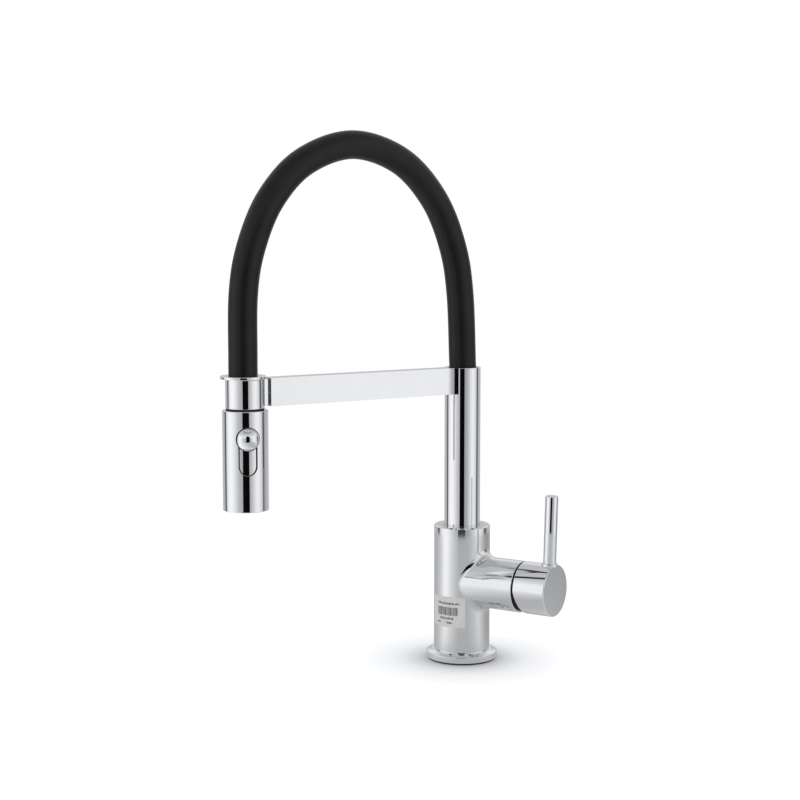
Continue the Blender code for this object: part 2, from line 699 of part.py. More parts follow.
def lever(flow_pivot, metal, steel):
    """The hub, its rod and the stem, in a frame whose origin is the pivot pin and whose +Z runs outwards."""
    end = CAP_END - PIVOT
    mouth = CAP_OPEN - PIVOT
    floor = CAP_FLOOR - PIVOT
    inner = CAP_RADIUS - CAP_WALL
    stem_hole = STEM_RADIUS + CLEARANCE
    stem_end = STEM_END - PIVOT
    hub = (
        (0, end),
        (CAP_RADIUS - CAP_EDGE, end),
        (CAP_RADIUS, end - CAP_EDGE),
        (CAP_RADIUS, mouth),
        (inner, mouth),
        (inner, floor),
        (CAP_BOSS_RADIUS, floor),
        (CAP_BOSS_RADIUS, floor - CAP_BOSS_LENGTH),
        (stem_hole, floor - CAP_BOSS_LENGTH),
        (stem_hole, stem_end + CLEARANCE),
        (0, stem_end + CLEARANCE),
    )
    cap = turned("handle_cap", hub, flow_pivot, metal, ROUND)
    wide = CAP_RADIUS + OVERRUN
    relief = prism(
        "relief_cut",
        ((0, -wide), (wide, -wide), (wide, wide), (0, wide)),
        -CAP_LENGTH / 2,
        0,
        flow_pivot,
        rotation=(0, -RELIEF_ANGLE, 0),
        location=(0, 0, mouth),
    )
    cut(cap, relief)
    station = ROD_STATION - PIVOT
    rod_foot = CAP_RADIUS - ROD_DEPTH
    rod_tilt = (0, ROD_LEAN - math.pi / 2, 0)
    socket = disc_profile(ROD_RADIUS + CLEARANCE, rod_foot - CLEARANCE, CAP_RADIUS + OVERRUN)
    cut(cap, turned("rod_socket", socket, flow_pivot, location=(0, 0, station), rotation=rod_tilt))
    rod_end = ROD_TOP - BRANCH_HEIGHT
    rod = (
        (0, rod_foot),
        (ROD_RADIUS, rod_foot),
        (ROD_RADIUS, rod_end - EDGE),
        (ROD_RADIUS - EDGE, rod_end),
        (0, rod_end),
    )
    turned("lever_rod", rod, flow_pivot, metal, location=(0, 0, station), rotation=rod_tilt)
    seat_low = CAP_RADIUS - ROD_SEAT_OVERLAP
    seat_high = CAP_RADIUS + ROD_SEAT_HEIGHT
    seat = turned(
        "lever_rod_seat",
        ring_profile(ROD_RADIUS + CLEARANCE, ROD_SEAT_RADIUS, seat_low, seat_high),
        flow_pivot,
        metal,
        location=(0, 0, station),
        rotation=rod_tilt,
    )
    hub_blank = disc_profile(CAP_RADIUS + CLEARANCE, mouth - OVERRUN, end + OVERRUN)
    cut(seat, turned("seat_saddle", hub_blank, flow_pivot, sides=ROUND))
    screw_station = floor - CAP_BOSS_LENGTH / 2
    drill(
        cap,
        "set_screw_hole",
        SET_SCREW_RADIUS + CLEARANCE,
        (STEM_RADIUS / 2, 0, screw_station),
        (CAP_RADIUS + OVERRUN, 0, screw_station),
    )
    rod_between(
        "handle_set_screw",
        SET_SCREW_RADIUS,
        (STEM_RADIUS + CLEARANCE, 0, screw_station),
        (CAP_BOSS_RADIUS - EDGE, 0, screw_station),
        flow_pivot,
        steel,
    )
    ball = STEM_BALL - PIVOT
    shoulder = ROTOR + STEM_SHOULDER - PIVOT
    stem = [(0, ball - STEM_BALL_RADIUS)]
    steps = 4
    last = math.pi - math.asin(STEM_NECK_RADIUS / STEM_BALL_RADIUS)
    for step in range(1, steps + 1):
        turn = last * step / steps
        stem.append((STEM_BALL_RADIUS * math.sin(turn), ball - STEM_BALL_RADIUS * math.cos(turn)))
    stem += [(STEM_NECK_RADIUS, shoulder), (STEM_RADIUS, shoulder), (STEM_RADIUS, stem_end), (0, stem_end)]
    spindle = turned("cartridge_stem", stem, flow_pivot, steel)
    reach = STEM_RADIUS + DRILL_OVERRUN
    drill(spindle, "stem_pin_hole", PIVOT_PIN_RADIUS + CLEARANCE, (0, -reach, 0), (0, reach, 0))


# ---------------------------------------------------------------- spout
def column(spout_axis, metal, brass, rubber):
    groove_radius = TUBE_RADIUS - GROOVE_DEPTH
    tube = (
        (TUBE_BORE, TUBE_BOTTOM),
        (TUBE_RADIUS, TUBE_BOTTOM),
        (TUBE_RADIUS, GROOVE_BOTTOM),
        (groove_radius, GROOVE_BOTTOM),
        (groove_radius, GROOVE_BOTTOM + GROOVE_WIDTH),
        (TUBE_RADIUS, GROOVE_BOTTOM + GROOVE_WIDTH),
        (TUBE_RADIUS, TUBE_TOP),
        (TUBE_BORE, TUBE_TOP),
    )
    turned("riser_tube", tube, spout_axis, metal, ROUND)
    section = O_RING_SECTION
    groove = SPIGOT_RADIUS - 2 * section - CLEARANCE
    half = section + CLEARANCE
    shoulder = TUBE_BOTTOM - CLEARANCE
    rings = {
        "spigot_o_ring_lower": SPIGOT_BOTTOM + SPIGOT_LENGTH * LOWER_RING_STATION,
        "spigot_o_ring_upper": SPIGOT_BOTTOM + SPIGOT_LENGTH * UPPER_RING_STATION,
    }
    spigot = [(SPIGOT_BORE, SPIGOT_BOTTOM), (SPIGOT_RADIUS, SPIGOT_BOTTOM)]
    for name, level in rings.items():
        o_ring(name, SPIGOT_RADIUS - section, section, level, spout_axis, rubber)
        spigot += [(SPIGOT_RADIUS, level - half), (groove, level - half)]
        spigot += [(groove, level + half), (SPIGOT_RADIUS, level + half)]
    collar = TUBE_BORE - CLEARANCE
    spigot += [(SPIGOT_RADIUS, shoulder), (collar, shoulder), (collar, HOSE_FOOT), (SPIGOT_BORE, HOSE_FOOT)]
    turned("swivel_spigot", spigot, spout_axis, brass)
    hose_hole = HOSE_RADIUS + CLEARANCE
    nut_low = HOSE_FOOT + CLEARANCE
    nut_high = nut_low + HOSE_NUT_HEIGHT
    hexagon = arc((0, 0), HOSE_NUT_RADIUS, 0, math.tau, 6)[:-1]
    nut = prism("hose_nut", hexagon, nut_low, nut_high, spout_axis, brass)
    drill(nut, "hose_nut_bore", hose_hole, (0, 0, nut_low - DRILL_OVERRUN), (0, 0, nut_high + DRILL_OVERRUN))
    ferrule_low = nut_high + CLEARANCE
    ferrule = ring_profile(hose_hole, hose_hole + FERRULE_WALL, ferrule_low, ferrule_low + FERRULE_LENGTH)
    turned("hose_ferrule_lower", ferrule, spout_axis, metal)
    guide_inner = SHEATH_RADIUS + CLEARANCE
    guide_low = TUBE_TOP - SHEATH_TUCK - CLEARANCE * 2
    turned(
        "sheath_guide_bush",
        ring_profile(guide_inner, guide_inner + GUIDE_WALL, guide_low, TUBE_TOP - CLEARANCE),
        spout_axis,
        rubber,
    )


def hoses(spout_axis, rubber, hose_braid):
    drop = Vector((SHEATH_REACH, SHEATH_END + SHEATH_DROP))
    knots = [Vector((0, TUBE_TOP)), *(Vector((out, TUBE_TOP + up)) for out, up in ARCH), drop]
    arch = smooth_route(knots, ARCH_STEPS)
    sheath = [(0, TUBE_TOP - SHEATH_TUCK), *arch, (SHEATH_REACH, SHEATH_END)]
    hollow_hose("hose_sheath", sheath, SHEATH_RADIUS, SHEATH_BORE, 10, spout_axis, rubber)
    foot = HOSE_FOOT + CLEARANCE * 2
    rise = (TUBE_TOP - foot) / 4
    straight = [(0, foot + rise * step) for step in range(4)]
    ferrule_top = HOSE_HEAD_END + UPPER_FERRULE_LENGTH
    tail = [
        (SHEATH_REACH, SHEATH_END),
        (REACH + SHEATH_END_OFFSET / 2, (SHEATH_END + ferrule_top) / 2),
        (REACH, ferrule_top),
        (REACH, HOSE_HEAD_END + CLEARANCE),
    ]
    hollow_hose("inner_hose", [*straight, *arch, *tail], HOSE_RADIUS, HOSE_BORE, 8, spout_axis, hose_braid)


def docking_arm(spout_axis, metal, steel):
    """A flat arm blended into the column by two hollow fillets, with the dock's holder in its end."""
    half = ARM_WIDTH / 2
    saddle = TUBE_RADIUS + CLEARANCE
    fillet_side = half + ARM_FILLET
    fillet_far = TUBE_RADIUS + ARM_FILLET
    fillet_out = math.sqrt(fillet_far**2 - fillet_side**2)
    fillet_turn = math.atan2(fillet_side, fillet_out)
    clear = math.acos((fillet_far**2 + ARM_FILLET**2 - saddle**2) / (2 * fillet_far * ARM_FILLET))
    flank = fillet_turn - math.asin(ARM_FILLET * math.sin(clear) / saddle)
    outline = arc((0, 0), saddle, -flank, flank, 8)
    fillet = arc((fillet_out, fillet_side), ARM_FILLET, math.pi + fillet_turn + clear, math.pi * 1.5, 6)
    outline += fillet[1:]
    outline += [(ARM_END, half), (ARM_END, -half)]
    outline += [(x, -y) for x, y in reversed(fillet[1:])]
    across = [(-y, -x) for x, y in outline]
    arm = prism("docking_arm", across, ARM_BOTTOM, TUBE_TOP, spout_axis, metal)
    middle = (ARM_BOTTOM + TUBE_TOP) / 2
    pocket_half = TENON_WIDTH / 2 + CLEARANCE
    pocket_end = ARM_END - TENON_LENGTH - CLEARANCE
    pocket = box(
        "tenon_pocket",
        (-pocket_half, -ARM_END - DRILL_OVERRUN, middle - TENON_HEIGHT / 2 - CLEARANCE),
        (pocket_half, -pocket_end, middle + TENON_HEIGHT / 2 + CLEARANCE),
        spout_axis,
    )
    cut(arm, pocket, "MANIFOLD")
    holder = box(
        "dock_holder",
        (-LUG_WIDTH / 2, -REACH + NECK_RADIUS / 2, ARM_BOTTOM + LUG_INSET),
        (LUG_WIDTH / 2, -ARM_END - CLEARANCE, TUBE_TOP - LUG_INSET),
        spout_axis,
        metal,
    )
    tenon = box(
        "holder_tenon",
        (-TENON_WIDTH / 2, -ARM_END - DRILL_OVERRUN, middle - TENON_HEIGHT / 2),
        (TENON_WIDTH / 2, -ARM_END + TENON_LENGTH, middle + TENON_HEIGHT / 2),
        spout_axis,
    )
    combine(holder, tenon, "UNION")
    hollow = disc_profile(NECK_RADIUS + CLEARANCE, ARM_BOTTOM - OVERRUN, TUBE_TOP + OVERRUN)
    cut(holder, turned("neck_hollow", hollow, spout_axis, sides=ROUND, location=(0, -REACH, 0)))
    magnet_half = MAGNET_WIDTH / 2
    cavity_half = magnet_half + CLEARANCE
    cavity_rise = MAGNET_HEIGHT / 2 + CLEARANCE
    back = -ARM_END + TENON_LENGTH
    cavity = box(
        "magnet_cavity",
        (-cavity_half, back - MAGNET_LENGTH - 2 * CLEARANCE, middle - cavity_rise),
        (cavity_half, back + DRILL_OVERRUN, middle + cavity_rise),
        spout_axis,
    )
    cut(holder, cavity)
    box(
        "dock_magnet",
        (-magnet_half, back - MAGNET_LENGTH - CLEARANCE, middle - MAGNET_HEIGHT / 2),
        (magnet_half, back - CLEARANCE, middle + MAGNET_HEIGHT / 2),
        spout_axis,
        steel,
    )


# ---------------------------------------------------------------- hose end and spray head
def hose_end(head_axis, metal, brass, rubber, plastic):
    cap_low = TUBE_TOP
    cap_high = cap_low + END_CAP_THICKNESS
    hose_passage = HOSE_RADIUS + HOSE_PASSAGE_FIT
    end_cap = (
        (hose_passage, cap_low),
        (END_CAP_RADIUS - EDGE, cap_low),
        (END_CAP_RADIUS, cap_low + EDGE),
        (END_CAP_RADIUS, cap_high - EDGE),
        (END_CAP_RADIUS - EDGE, cap_high),
        (SHEATH_RADIUS + CLEARANCE, cap_high),
        (SHEATH_RADIUS + CLEARANCE, cap_low + END_CAP_FLOOR),
        (hose_passage, cap_low + END_CAP_FLOOR),
    )
    turned("sheath_end_cap", end_cap, head_axis, metal, ROUND, location=(0, -SHEATH_END_OFFSET, 0))
    neck_bore = NECK_RADIUS - NECK_WALL
    passage = COUPLING_RADIUS + CLEARANCE
    neck = (
        (passage, NECK_BOTTOM),
        (NECK_RADIUS - EDGE, NECK_BOTTOM),
        (NECK_RADIUS, NECK_BOTTOM + EDGE),
        (NECK_RADIUS, NECK_TOP),
        (neck_bore, NECK_TOP),
        (neck_bore, NECK_BOTTOM + NECK_FLOOR),
        (passage, NECK_BOTTOM + NECK_FLOOR),
    )
    turned("docking_neck", neck, head_axis, metal, ROUND)
    flange_top = COUPLING_SEAT + COUPLING_FLANGE
    clip_groove = COUPLING_RADIUS - CLIP_GROOVE_DEPTH
    seal_level = COUPLING_BOTTOM + COUPLING_SEAL_RISE
    seal_section = COUPLING_SEAL_SECTION
    seal_groove = COUPLING_RADIUS - 2 * seal_section - CLEARANCE
    seal_half = seal_section + CLEARANCE
    coupling = (
        (COUPLING_BORE, COUPLING_BOTTOM),
        (COUPLING_RADIUS, COUPLING_BOTTOM),
        (COUPLING_RADIUS, seal_level - seal_half),
        (seal_groove, seal_level - seal_half),
        (seal_groove, seal_level + seal_half),
        (COUPLING_RADIUS, seal_level + seal_half),
        (COUPLING_RADIUS, CLIP_BOTTOM - CLEARANCE),
        (clip_groove, CLIP_BOTTOM - CLEARANCE),
        (clip_groove, CLIP_TOP + CLEARANCE),
        (COUPLING_RADIUS, CLIP_TOP + CLEARANCE),
        (COUPLING_RADIUS, COUPLING_SEAT),
        (neck_bore - CLEARANCE, COUPLING_SEAT),
        (neck_bore - CLEARANCE, flange_top),
        (COUPLING_BORE, flange_top),
    )
    turned("hose_coupling", coupling, head_axis, brass)
    o_ring("coupling_o_ring", COUPLING_RADIUS - seal_section, seal_section, seal_level, head_axis, rubber)
    clip = ring_profile(clip_groove + CLEARANCE, COUPLING_RADIUS + CLIP_FLANGE, CLIP_BOTTOM, CLIP_TOP)
    turned("coupling_clip", clip, head_axis, plastic)
    ferrule_bore = HOSE_RADIUS + CLEARANCE
    ferrule = ring_profile(
        ferrule_bore, ferrule_bore + FERRULE_WALL, HOSE_HEAD_END, HOSE_HEAD_END + UPPER_FERRULE_LENGTH
    )
    turned("hose_ferrule_upper", ferrule, head_axis, metal)
    valve_radius = COUPLING_BORE - CLEARANCE
    valve_low = COUPLING_BOTTOM + VALVE_RISE
    valve = ring_profile(valve_radius - VALVE_WALL, valve_radius, valve_low, valve_low + VALVE_LENGTH)
    turned("check_valve", valve, head_axis, plastic, TINY_ROUND)


def spray_head(head_axis, diverter_axis, metal, plastic, grey, steel):
    collar_hole = COUPLING_RADIUS + CLEARANCE
    top_low = HEAD_TOP - HEAD_TOP_THICKNESS
    shell = (
        (HEAD_BORE, HEAD_BOTTOM),
        (HEAD_RADIUS - HEAD_EDGE, HEAD_BOTTOM),
        (HEAD_RADIUS, HEAD_BOTTOM + HEAD_EDGE),
        (HEAD_RADIUS, HEAD_TOP - HEAD_EDGE),
        (HEAD_RADIUS - HEAD_EDGE, HEAD_TOP),
        (collar_hole, HEAD_TOP),
        (collar_hole, top_low),
        (HEAD_BORE, top_low),
    )
    shell = turned("head_shell", shell, head_axis, metal, ROUND)
    half = SLOT_WIDTH / 2
    low = SLOT_BOTTOM + half
    slot = arc((0, KNOB_HEIGHT), half, 0, math.pi, 10) + arc((0, low), half, math.pi, math.tau, 10)
    slot_tool = prism(
        "knob_slot",
        slot,
        SHUTTER_INNER,
        HEAD_RADIUS + OVERRUN,
        diverter_axis,
        rotation=(math.pi / 2, 0, 0),
    )
    cut(shell, slot_tool)
    flange_radius = HEAD_BORE - CLEARANCE
    sleeve_bore = SPOOL_RADIUS + CLEARANCE
    socket_low = COUPLING_BOTTOM - CLEARANCE
    inner = (
        (sleeve_bore, INNER_BODY_BOTTOM),
        (flange_radius, INNER_BODY_BOTTOM),
        (flange_radius, INNER_FLANGE_TOP),
        (INNER_BODY_RADIUS, INNER_FLANGE_TOP),
        (INNER_BODY_RADIUS, INNER_BODY_TOP),
        (collar_hole, INNER_BODY_TOP),
        (collar_hole, socket_low),
        (sleeve_bore, socket_low),
    )
    inner_body = turned("head_inner_body", inner, head_axis, plastic)
    pin_half = DRIVE_PIN_RADIUS + CLEARANCE
    window = box(
        "drive_window",
        (-pin_half, -HEAD_BORE, KNOB_HEIGHT - KNOB_TRAVEL - pin_half),
        (pin_half, -SPOOL_BORE, KNOB_HEIGHT + pin_half),
        diverter_axis,
    )
    cut(inner_body, window)
    aerator_hole = AERATOR_RADIUS + CLEARANCE
    face_plate = ring_profile(aerator_hole, flange_radius, FACE_BOTTOM, FACE_TOP)
    face = turned("spray_face", face_plate, head_axis, grey)
    for index in range(NOZZLE_COUNT):
        turn = math.tau * index / NOZZLE_COUNT
        x = NOZZLE_CIRCLE * math.cos(turn)
        y = NOZZLE_CIRCLE * math.sin(turn)
        low = (x, y, FACE_BOTTOM - DRILL_OVERRUN)
        high = (x, y, FACE_TOP + DRILL_OVERRUN)
        drill(face, f"nozzle_{index:02d}", NOZZLE_RADIUS, low, high, 6, "MANIFOLD")
    aerator_bore = AERATOR_RADIUS - AERATOR_WALL
    aerator_low = FACE_BOTTOM + AERATOR_RECESS
    lip_top = aerator_low + AERATOR_LIP
    housing = (
        (aerator_bore - AERATOR_LIP, aerator_low),
        (AERATOR_RADIUS, aerator_low),
        (AERATOR_RADIUS, aerator_low + AERATOR_LENGTH),
        (aerator_bore, aerator_low + AERATOR_LENGTH),
        (aerator_bore, lip_top),
        (aerator_bore - AERATOR_LIP, lip_top),
    )
    turned("aerator_housing", housing, head_axis, grey)
    screen_low = lip_top + CLEARANCE
    screen_high = screen_low + SCREEN_THICKNESS
    screen = turned(
        "aerator_screen",
        disc_profile(aerator_bore - CLEARANCE, screen_low, screen_high),
        head_axis,
        steel,
    )
    for index in range(SCREEN_HOLES):
        turn = math.tau * index / SCREEN_HOLES
        x = SCREEN_HOLE_CIRCLE * math.cos(turn)
        y = SCREEN_HOLE_CIRCLE * math.sin(turn)
        low = (x, y, screen_low - DRILL_OVERRUN)
        high = (x, y, screen_high + DRILL_OVERRUN)
        drill(screen, f"screen_hole_{index}", SCREEN_HOLE_RADIUS, low, high, 6, "MANIFOLD")


def diverter(diverter_axis, metal, plastic, rubber):
    """The knob slides in the slot and carries the shutter behind it and the spool inside. It faces -Y."""
    facing = (math.pi / 2, 0, 0)
    middle = (0, 0, KNOB_HEIGHT)
    centre = HEAD_RADIUS + CLEARANCE + KNOB_RISE - KNOB_CURVE
    rim = centre + math.sqrt(KNOB_CURVE**2 - KNOB_RADIUS**2)
    stem_radius = SLOT_WIDTH / 2 - SLOT_FIT
    stem_front = HEAD_RADIUS + KNOB_RISE / 3
    stem_back = SHUTTER_INNER - CLEARANCE
    pin_tip = SPOOL_BORE + DRIVE_PIN_INTO_SPOOL
    dome = [(0, SHUTTER_INNER), (KNOB_RADIUS, SHUTTER_INNER), (KNOB_RADIUS, rim)]
    rim_turn = math.asin(KNOB_RADIUS / KNOB_CURVE)
    steps = 6
    for step in range(1, steps + 1):
        turn = rim_turn * (1 - step / steps)
        dome.append((KNOB_CURVE * math.sin(turn), centre + KNOB_CURVE * math.cos(turn)))
    dome[-1] = (0, centre + KNOB_CURVE)
    knob = turned("diverter_knob", dome, diverter_axis, metal, ROUND, middle, facing)
    saddle = disc_profile(HEAD_RADIUS + CLEARANCE, KNOB_HEIGHT - HEAD_RADIUS, KNOB_HEIGHT + HEAD_RADIUS)
    cut(knob, turned("knob_saddle", saddle, diverter_axis, sides=ROUND))
    stem = (
        (0, pin_tip),
        (DRIVE_PIN_RADIUS, pin_tip),
        (DRIVE_PIN_RADIUS, stem_back),
        (stem_radius, stem_back),
        (stem_radius, stem_front),
        (0, stem_front),
    )
    combine(knob, turned("knob_stem", stem, diverter_axis, location=middle, rotation=facing), "UNION")
    half = math.asin((SLOT_WIDTH / 2 + SHUTTER_OVERLAP) / SHUTTER_OUTER)
    outline = arc((0, 0), SHUTTER_OUTER, -half, half, 10) + arc((0, 0), SHUTTER_INNER, half, -half, 10)
    shutter = prism(
        "diverter_shutter",
        [(y, -x) for x, y in outline],
        SHUTTER_BOTTOM,
        SHUTTER_TOP,
        diverter_axis,
        metal,
    )
    drill(
        shutter,
        "shutter_hole",
        stem_radius + CLEARANCE,
        (0, -SPOOL_RADIUS, KNOB_HEIGHT),
        (0, -HEAD_RADIUS, KNOB_HEIGHT),
        SMALL_ROUND,
    )
    seal_level = KNOB_HEIGHT - SPOOL_BELOW + SPOOL_SEAL_RISE
    seal_half = SPOOL_SEAL_SECTION + CLEARANCE
    groove = SPOOL_RADIUS - 2 * SPOOL_SEAL_SECTION - CLEARANCE
    spool = (
        (SPOOL_BORE, KNOB_HEIGHT - SPOOL_BELOW),
        (SPOOL_RADIUS, KNOB_HEIGHT - SPOOL_BELOW),
        (SPOOL_RADIUS, seal_level - seal_half),
        (groove, seal_level - seal_half),
        (groove, seal_level + seal_half),
        (SPOOL_RADIUS, seal_level + seal_half),
        (SPOOL_RADIUS, KNOB_HEIGHT + SPOOL_ABOVE),
        (SPOOL_BORE, KNOB_HEIGHT + SPOOL_ABOVE),
    )
    spool = turned("diverter_spool", spool, diverter_axis, plastic)
    drill(
        spool,
        "drive_pin_hole",
        DRIVE_PIN_RADIUS + CLEARANCE,
        (0, 0, KNOB_HEIGHT),
        (0, -SPOOL_RADIUS - DRILL_OVERRUN, KNOB_HEIGHT),
    )
    seal_radius = SPOOL_RADIUS - SPOOL_SEAL_SECTION
    o_ring("spool_o_ring", seal_radius, SPOOL_SEAL_SECTION, seal_level, diverter_axis, rubber)


def main():
    clear_scene()
    chrome = material("chrome", (0.78, 0.79, 0.80), 0.06, 1.0)
    rubber = material("black_rubber", (0.012, 0.012, 0.013), 0.55)
    brass = material("brass", (0.72, 0.55, 0.28), 0.30, 1.0)
    steel = material("steel", (0.55, 0.56, 0.58), 0.30, 1.0)
    plastic = material("white_plastic", (0.80, 0.80, 0.78), 0.40)
    grey = material("grey_plastic", (0.35, 0.36, 0.38), 0.45)
    ceramic = material("ceramic", (0.86, 0.84, 0.80), 0.20)
    paper = material("paper", (0.86, 0.86, 0.84), 0.70)
    braid = material("hose_braid", (0.45, 0.46, 0.48), 0.50)

    branch_axis = axis_empty("branch_axis", None, (0, 0, BRANCH_HEIGHT), (0, math.pi / 2, 0))
    flow_pivot = axis_empty("flow_pivot", branch_axis, (0, 0, PIVOT))
    spout_axis = axis_empty("spout_axis", None, (0, 0, 0), (0, 0, -SPOUT_SWING))
    head_axis = axis_empty("head_axis", spout_axis, (0, -REACH, 0))
    diverter_axis = axis_empty("diverter_axis", head_axis, (0, 0, 0), (0, 0, DIVERTER_TURN))

    base(chrome, rubber)
    mixer_body(chrome, branch_axis)
    shipping_label(paper)
    swivel_seat(plastic, steel)
    cartridge(branch_axis, plastic, ceramic, rubber, brass)
    rotor(branch_axis, plastic, steel)
    mixing_disc(branch_axis, ceramic, plastic)
    lever(flow_pivot, chrome, steel)
    column(spout_axis, chrome, brass, rubber)
    hoses(spout_axis, rubber, braid)
    docking_arm(spout_axis, chrome, steel)
    hose_end(head_axis, chrome, brass, rubber, plastic)
    spray_head(head_axis, diverter_axis, chrome, plastic, grey, steel)
    diverter(diverter_axis, chrome, plastic, rubber)


main()
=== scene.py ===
"""Looks of the single-lever kitchen faucet with a pull-down head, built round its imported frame.

Sizes are in millimetres in this file and become metres as each mesh is made. Lengths in a profile that aren't
named are roundings and small steps that only this file has.
"""

import bisect
import json
import math

import bpy
from mathutils import Matrix, Vector


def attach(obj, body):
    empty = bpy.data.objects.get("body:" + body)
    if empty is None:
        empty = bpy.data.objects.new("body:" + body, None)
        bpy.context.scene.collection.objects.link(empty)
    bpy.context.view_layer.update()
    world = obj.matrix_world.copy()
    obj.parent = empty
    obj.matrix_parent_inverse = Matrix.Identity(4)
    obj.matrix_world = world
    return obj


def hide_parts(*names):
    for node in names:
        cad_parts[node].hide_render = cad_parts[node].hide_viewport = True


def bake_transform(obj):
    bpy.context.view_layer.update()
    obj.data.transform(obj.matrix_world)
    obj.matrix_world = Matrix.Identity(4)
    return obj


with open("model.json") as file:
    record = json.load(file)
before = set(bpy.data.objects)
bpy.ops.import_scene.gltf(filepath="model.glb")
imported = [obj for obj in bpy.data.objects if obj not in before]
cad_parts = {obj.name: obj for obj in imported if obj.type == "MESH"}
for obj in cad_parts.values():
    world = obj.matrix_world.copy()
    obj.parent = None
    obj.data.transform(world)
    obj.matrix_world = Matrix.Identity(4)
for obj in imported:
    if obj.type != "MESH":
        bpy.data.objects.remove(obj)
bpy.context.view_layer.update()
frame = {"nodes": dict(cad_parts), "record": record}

MM = 0.001
TAU = math.tau
QUARTER = math.pi / 2
ROUND = 120  # sides of a turned piece
ONE_SIDE = TAU / ROUND
ARC_STEPS = 5  # facets in a quarter turn of a rounded edge
RIM_STEPS = 4  # facets in a quarter turn of a rim

# ---------------------------------------------------------------- sizes, as in the part
FLANGE_BORE = 19.3
FLANGE_RADIUS = 27.8
FLANGE_BOTTOM = 1.5
FLANGE_TOP = 6.5
FLANGE_STEP = 24.6
FLANGE_NECK = 23.7
FLANGE_CROWN = 8.1
GASKET_RADIUS = 26.6
GASKET_TOP = 1.2
BODY_RADIUS = 22.0
BODY_TOP = 107.0
BODY_CHAMFER = 1.0
FOOT_RADIUS = 19.0
FOOT_TOP = 8.0
RECESS_RADIUS = 15.5
RECESS_TOP = 34.0
SWIVEL_BORE = 16.2
BRANCH_HEIGHT = 63.0
BRANCH_RADIUS = 20.0
BRANCH_REACH = 54.5
BRANCH_FILLET = 6.5
CARTRIDGE_BORE = 14.0
SCREW_LEVEL = 95.7
SCREW_HOLE = 2.8
SCREW_DEPTH = 5.0
CAP_OPEN = 56.0
CAP_END = 82.5
CAP_RADIUS = 20.0
CAP_BORE = 17.2
CAP_FLOOR = 74.0
BOSS_RADIUS = 9.0
BOSS_BORE = 4.3
BOSS_HEIGHT = 9.0
RELIEF = math.tan(math.radians(13))
ROD_RADIUS = 5.0
ROD_FOOT = 13.2
ROD_TOP = 73.0
ROD_STATION = 76.9
ROD_LEAN = math.radians(1.5)
ROD_SEAT = (6.4, 18.6, 21.0)  # radius, bottom and top along the rod
TUBE_RADIUS = 14.0
TUBE_BORE = 12.2
TUBE_BOTTOM = 89.0
TUBE_TOP = 231.0
TUBE_GAP = 0.25
SPOUT_SWING = math.radians(-24.4)
ARM_WIDTH = 12.0
ARM_BOTTOM = 210.6
ARM_FILLET = 12.0
ARM_END = 173.1
LUG_WIDTH = 7.0
LUG_ROOT = 4.0
LUG_STEP = 0.6
DOCK_GAP = 0.3
REACH = 191.2
SHEATH_RADIUS = 10.5
SHEATH_END = 232.5
SHEATH_OFFSET = 1.4
SHEATH_SUNK = 11.0
HOSE_RADIUS = 6.0
HOSE_BOTTOM = 104.0
END_CAP = (7.3, 16.6, 231.0, 233.2)  # bore, radius, bottom and top
NECK_RADIUS = 14.1
NECK_TOP = 230.7
NECK_BOTTOM = 208.9
NECK_BORE = 9.3
NECK_SOCKET = 11.5
HEAD_RADIUS = 16.5
HEAD_BORE = 15.7
HEAD_TOP = 208.6
HEAD_BOTTOM = 136.2
DIVERTER_TURN = math.radians(69)
DIVERTER_SIDE = -QUARTER  # where the slot is, in the diverter's own frame
KNOB_HEIGHT = 189.0
KNOB_RADIUS = 8.6
KNOB_DOME = 8.0
KNOB_CURVE = 9.0
KNOB_CENTRE = 13.9
KNOB_EDGE = 0.18
KNOB_STEM = 6.4
KNOB_STEM_END = 14.4
SLOT_HALF = 7.0
SLOT_BOTTOM = 162.6
SLOT_MIDDLE = (SLOT_BOTTOM + SLOT_HALF + KNOB_HEIGHT) / 2
SLOT_REACH = (KNOB_HEIGHT - SLOT_BOTTOM - SLOT_HALF) / 2
SHUTTER = (15.6, 1.0, 161.2, 202.0)  # radius, thickness, bottom and top
SHUTTER_MARGIN = 1.4
FACE_BOTTOM = 136.8
NOZZLE_COUNT = 12
NOZZLE_CIRCLE = 11.0
SCREEN = (5.9, 0.95, 0.16, 0.5, 1.6)  # radius, pitch, half a wire's width, thickness, height over the face
# The arch of the sheath over the column's top: distance from the column's axis and height.
ARCH = (
    (2.8, 56.5), (10.0, 93.5), (27.5, 129.5), (58.0, 157.6), (100.0, 168.5), (141.0, 155.3),
    (168.8, 128.3), (185.1, 94.1), (191.8, 60.1),
)

# ---------------------------------------------------------------- sizes of the looks
INNER_DEPTH = 6.0  # how far a bore is followed inwards from its mouth
PATCH = (34.0, 90.0)  # the heights between which the wall meets the branch
PATCH_SIDES = 25
SCREW_PATCH_TOP = 101.5
SCREW_SIDES = (27, 33)
SLOT_PATCH = (158.0, 200.0)
SLOT_SIDES = (78, 102)
LABEL_TURN = math.radians(-92)
LABEL_WIDTH = 30.0
LABEL_HEIGHTS = (28.5, 52.5)
LABEL_GAP = 0.04
LABEL_THICK = 0.12
INK_LIFT = 0.02
BARS = (-9.0, 9.5, 38.0, 44.4)  # left, right, bottom and top
BAR_WIDTHS = (0.35, 0.4, 0.5, 0.6, 0.9)
BAR_GAPS = (0.25, 0.4, 0.3, 0.45)
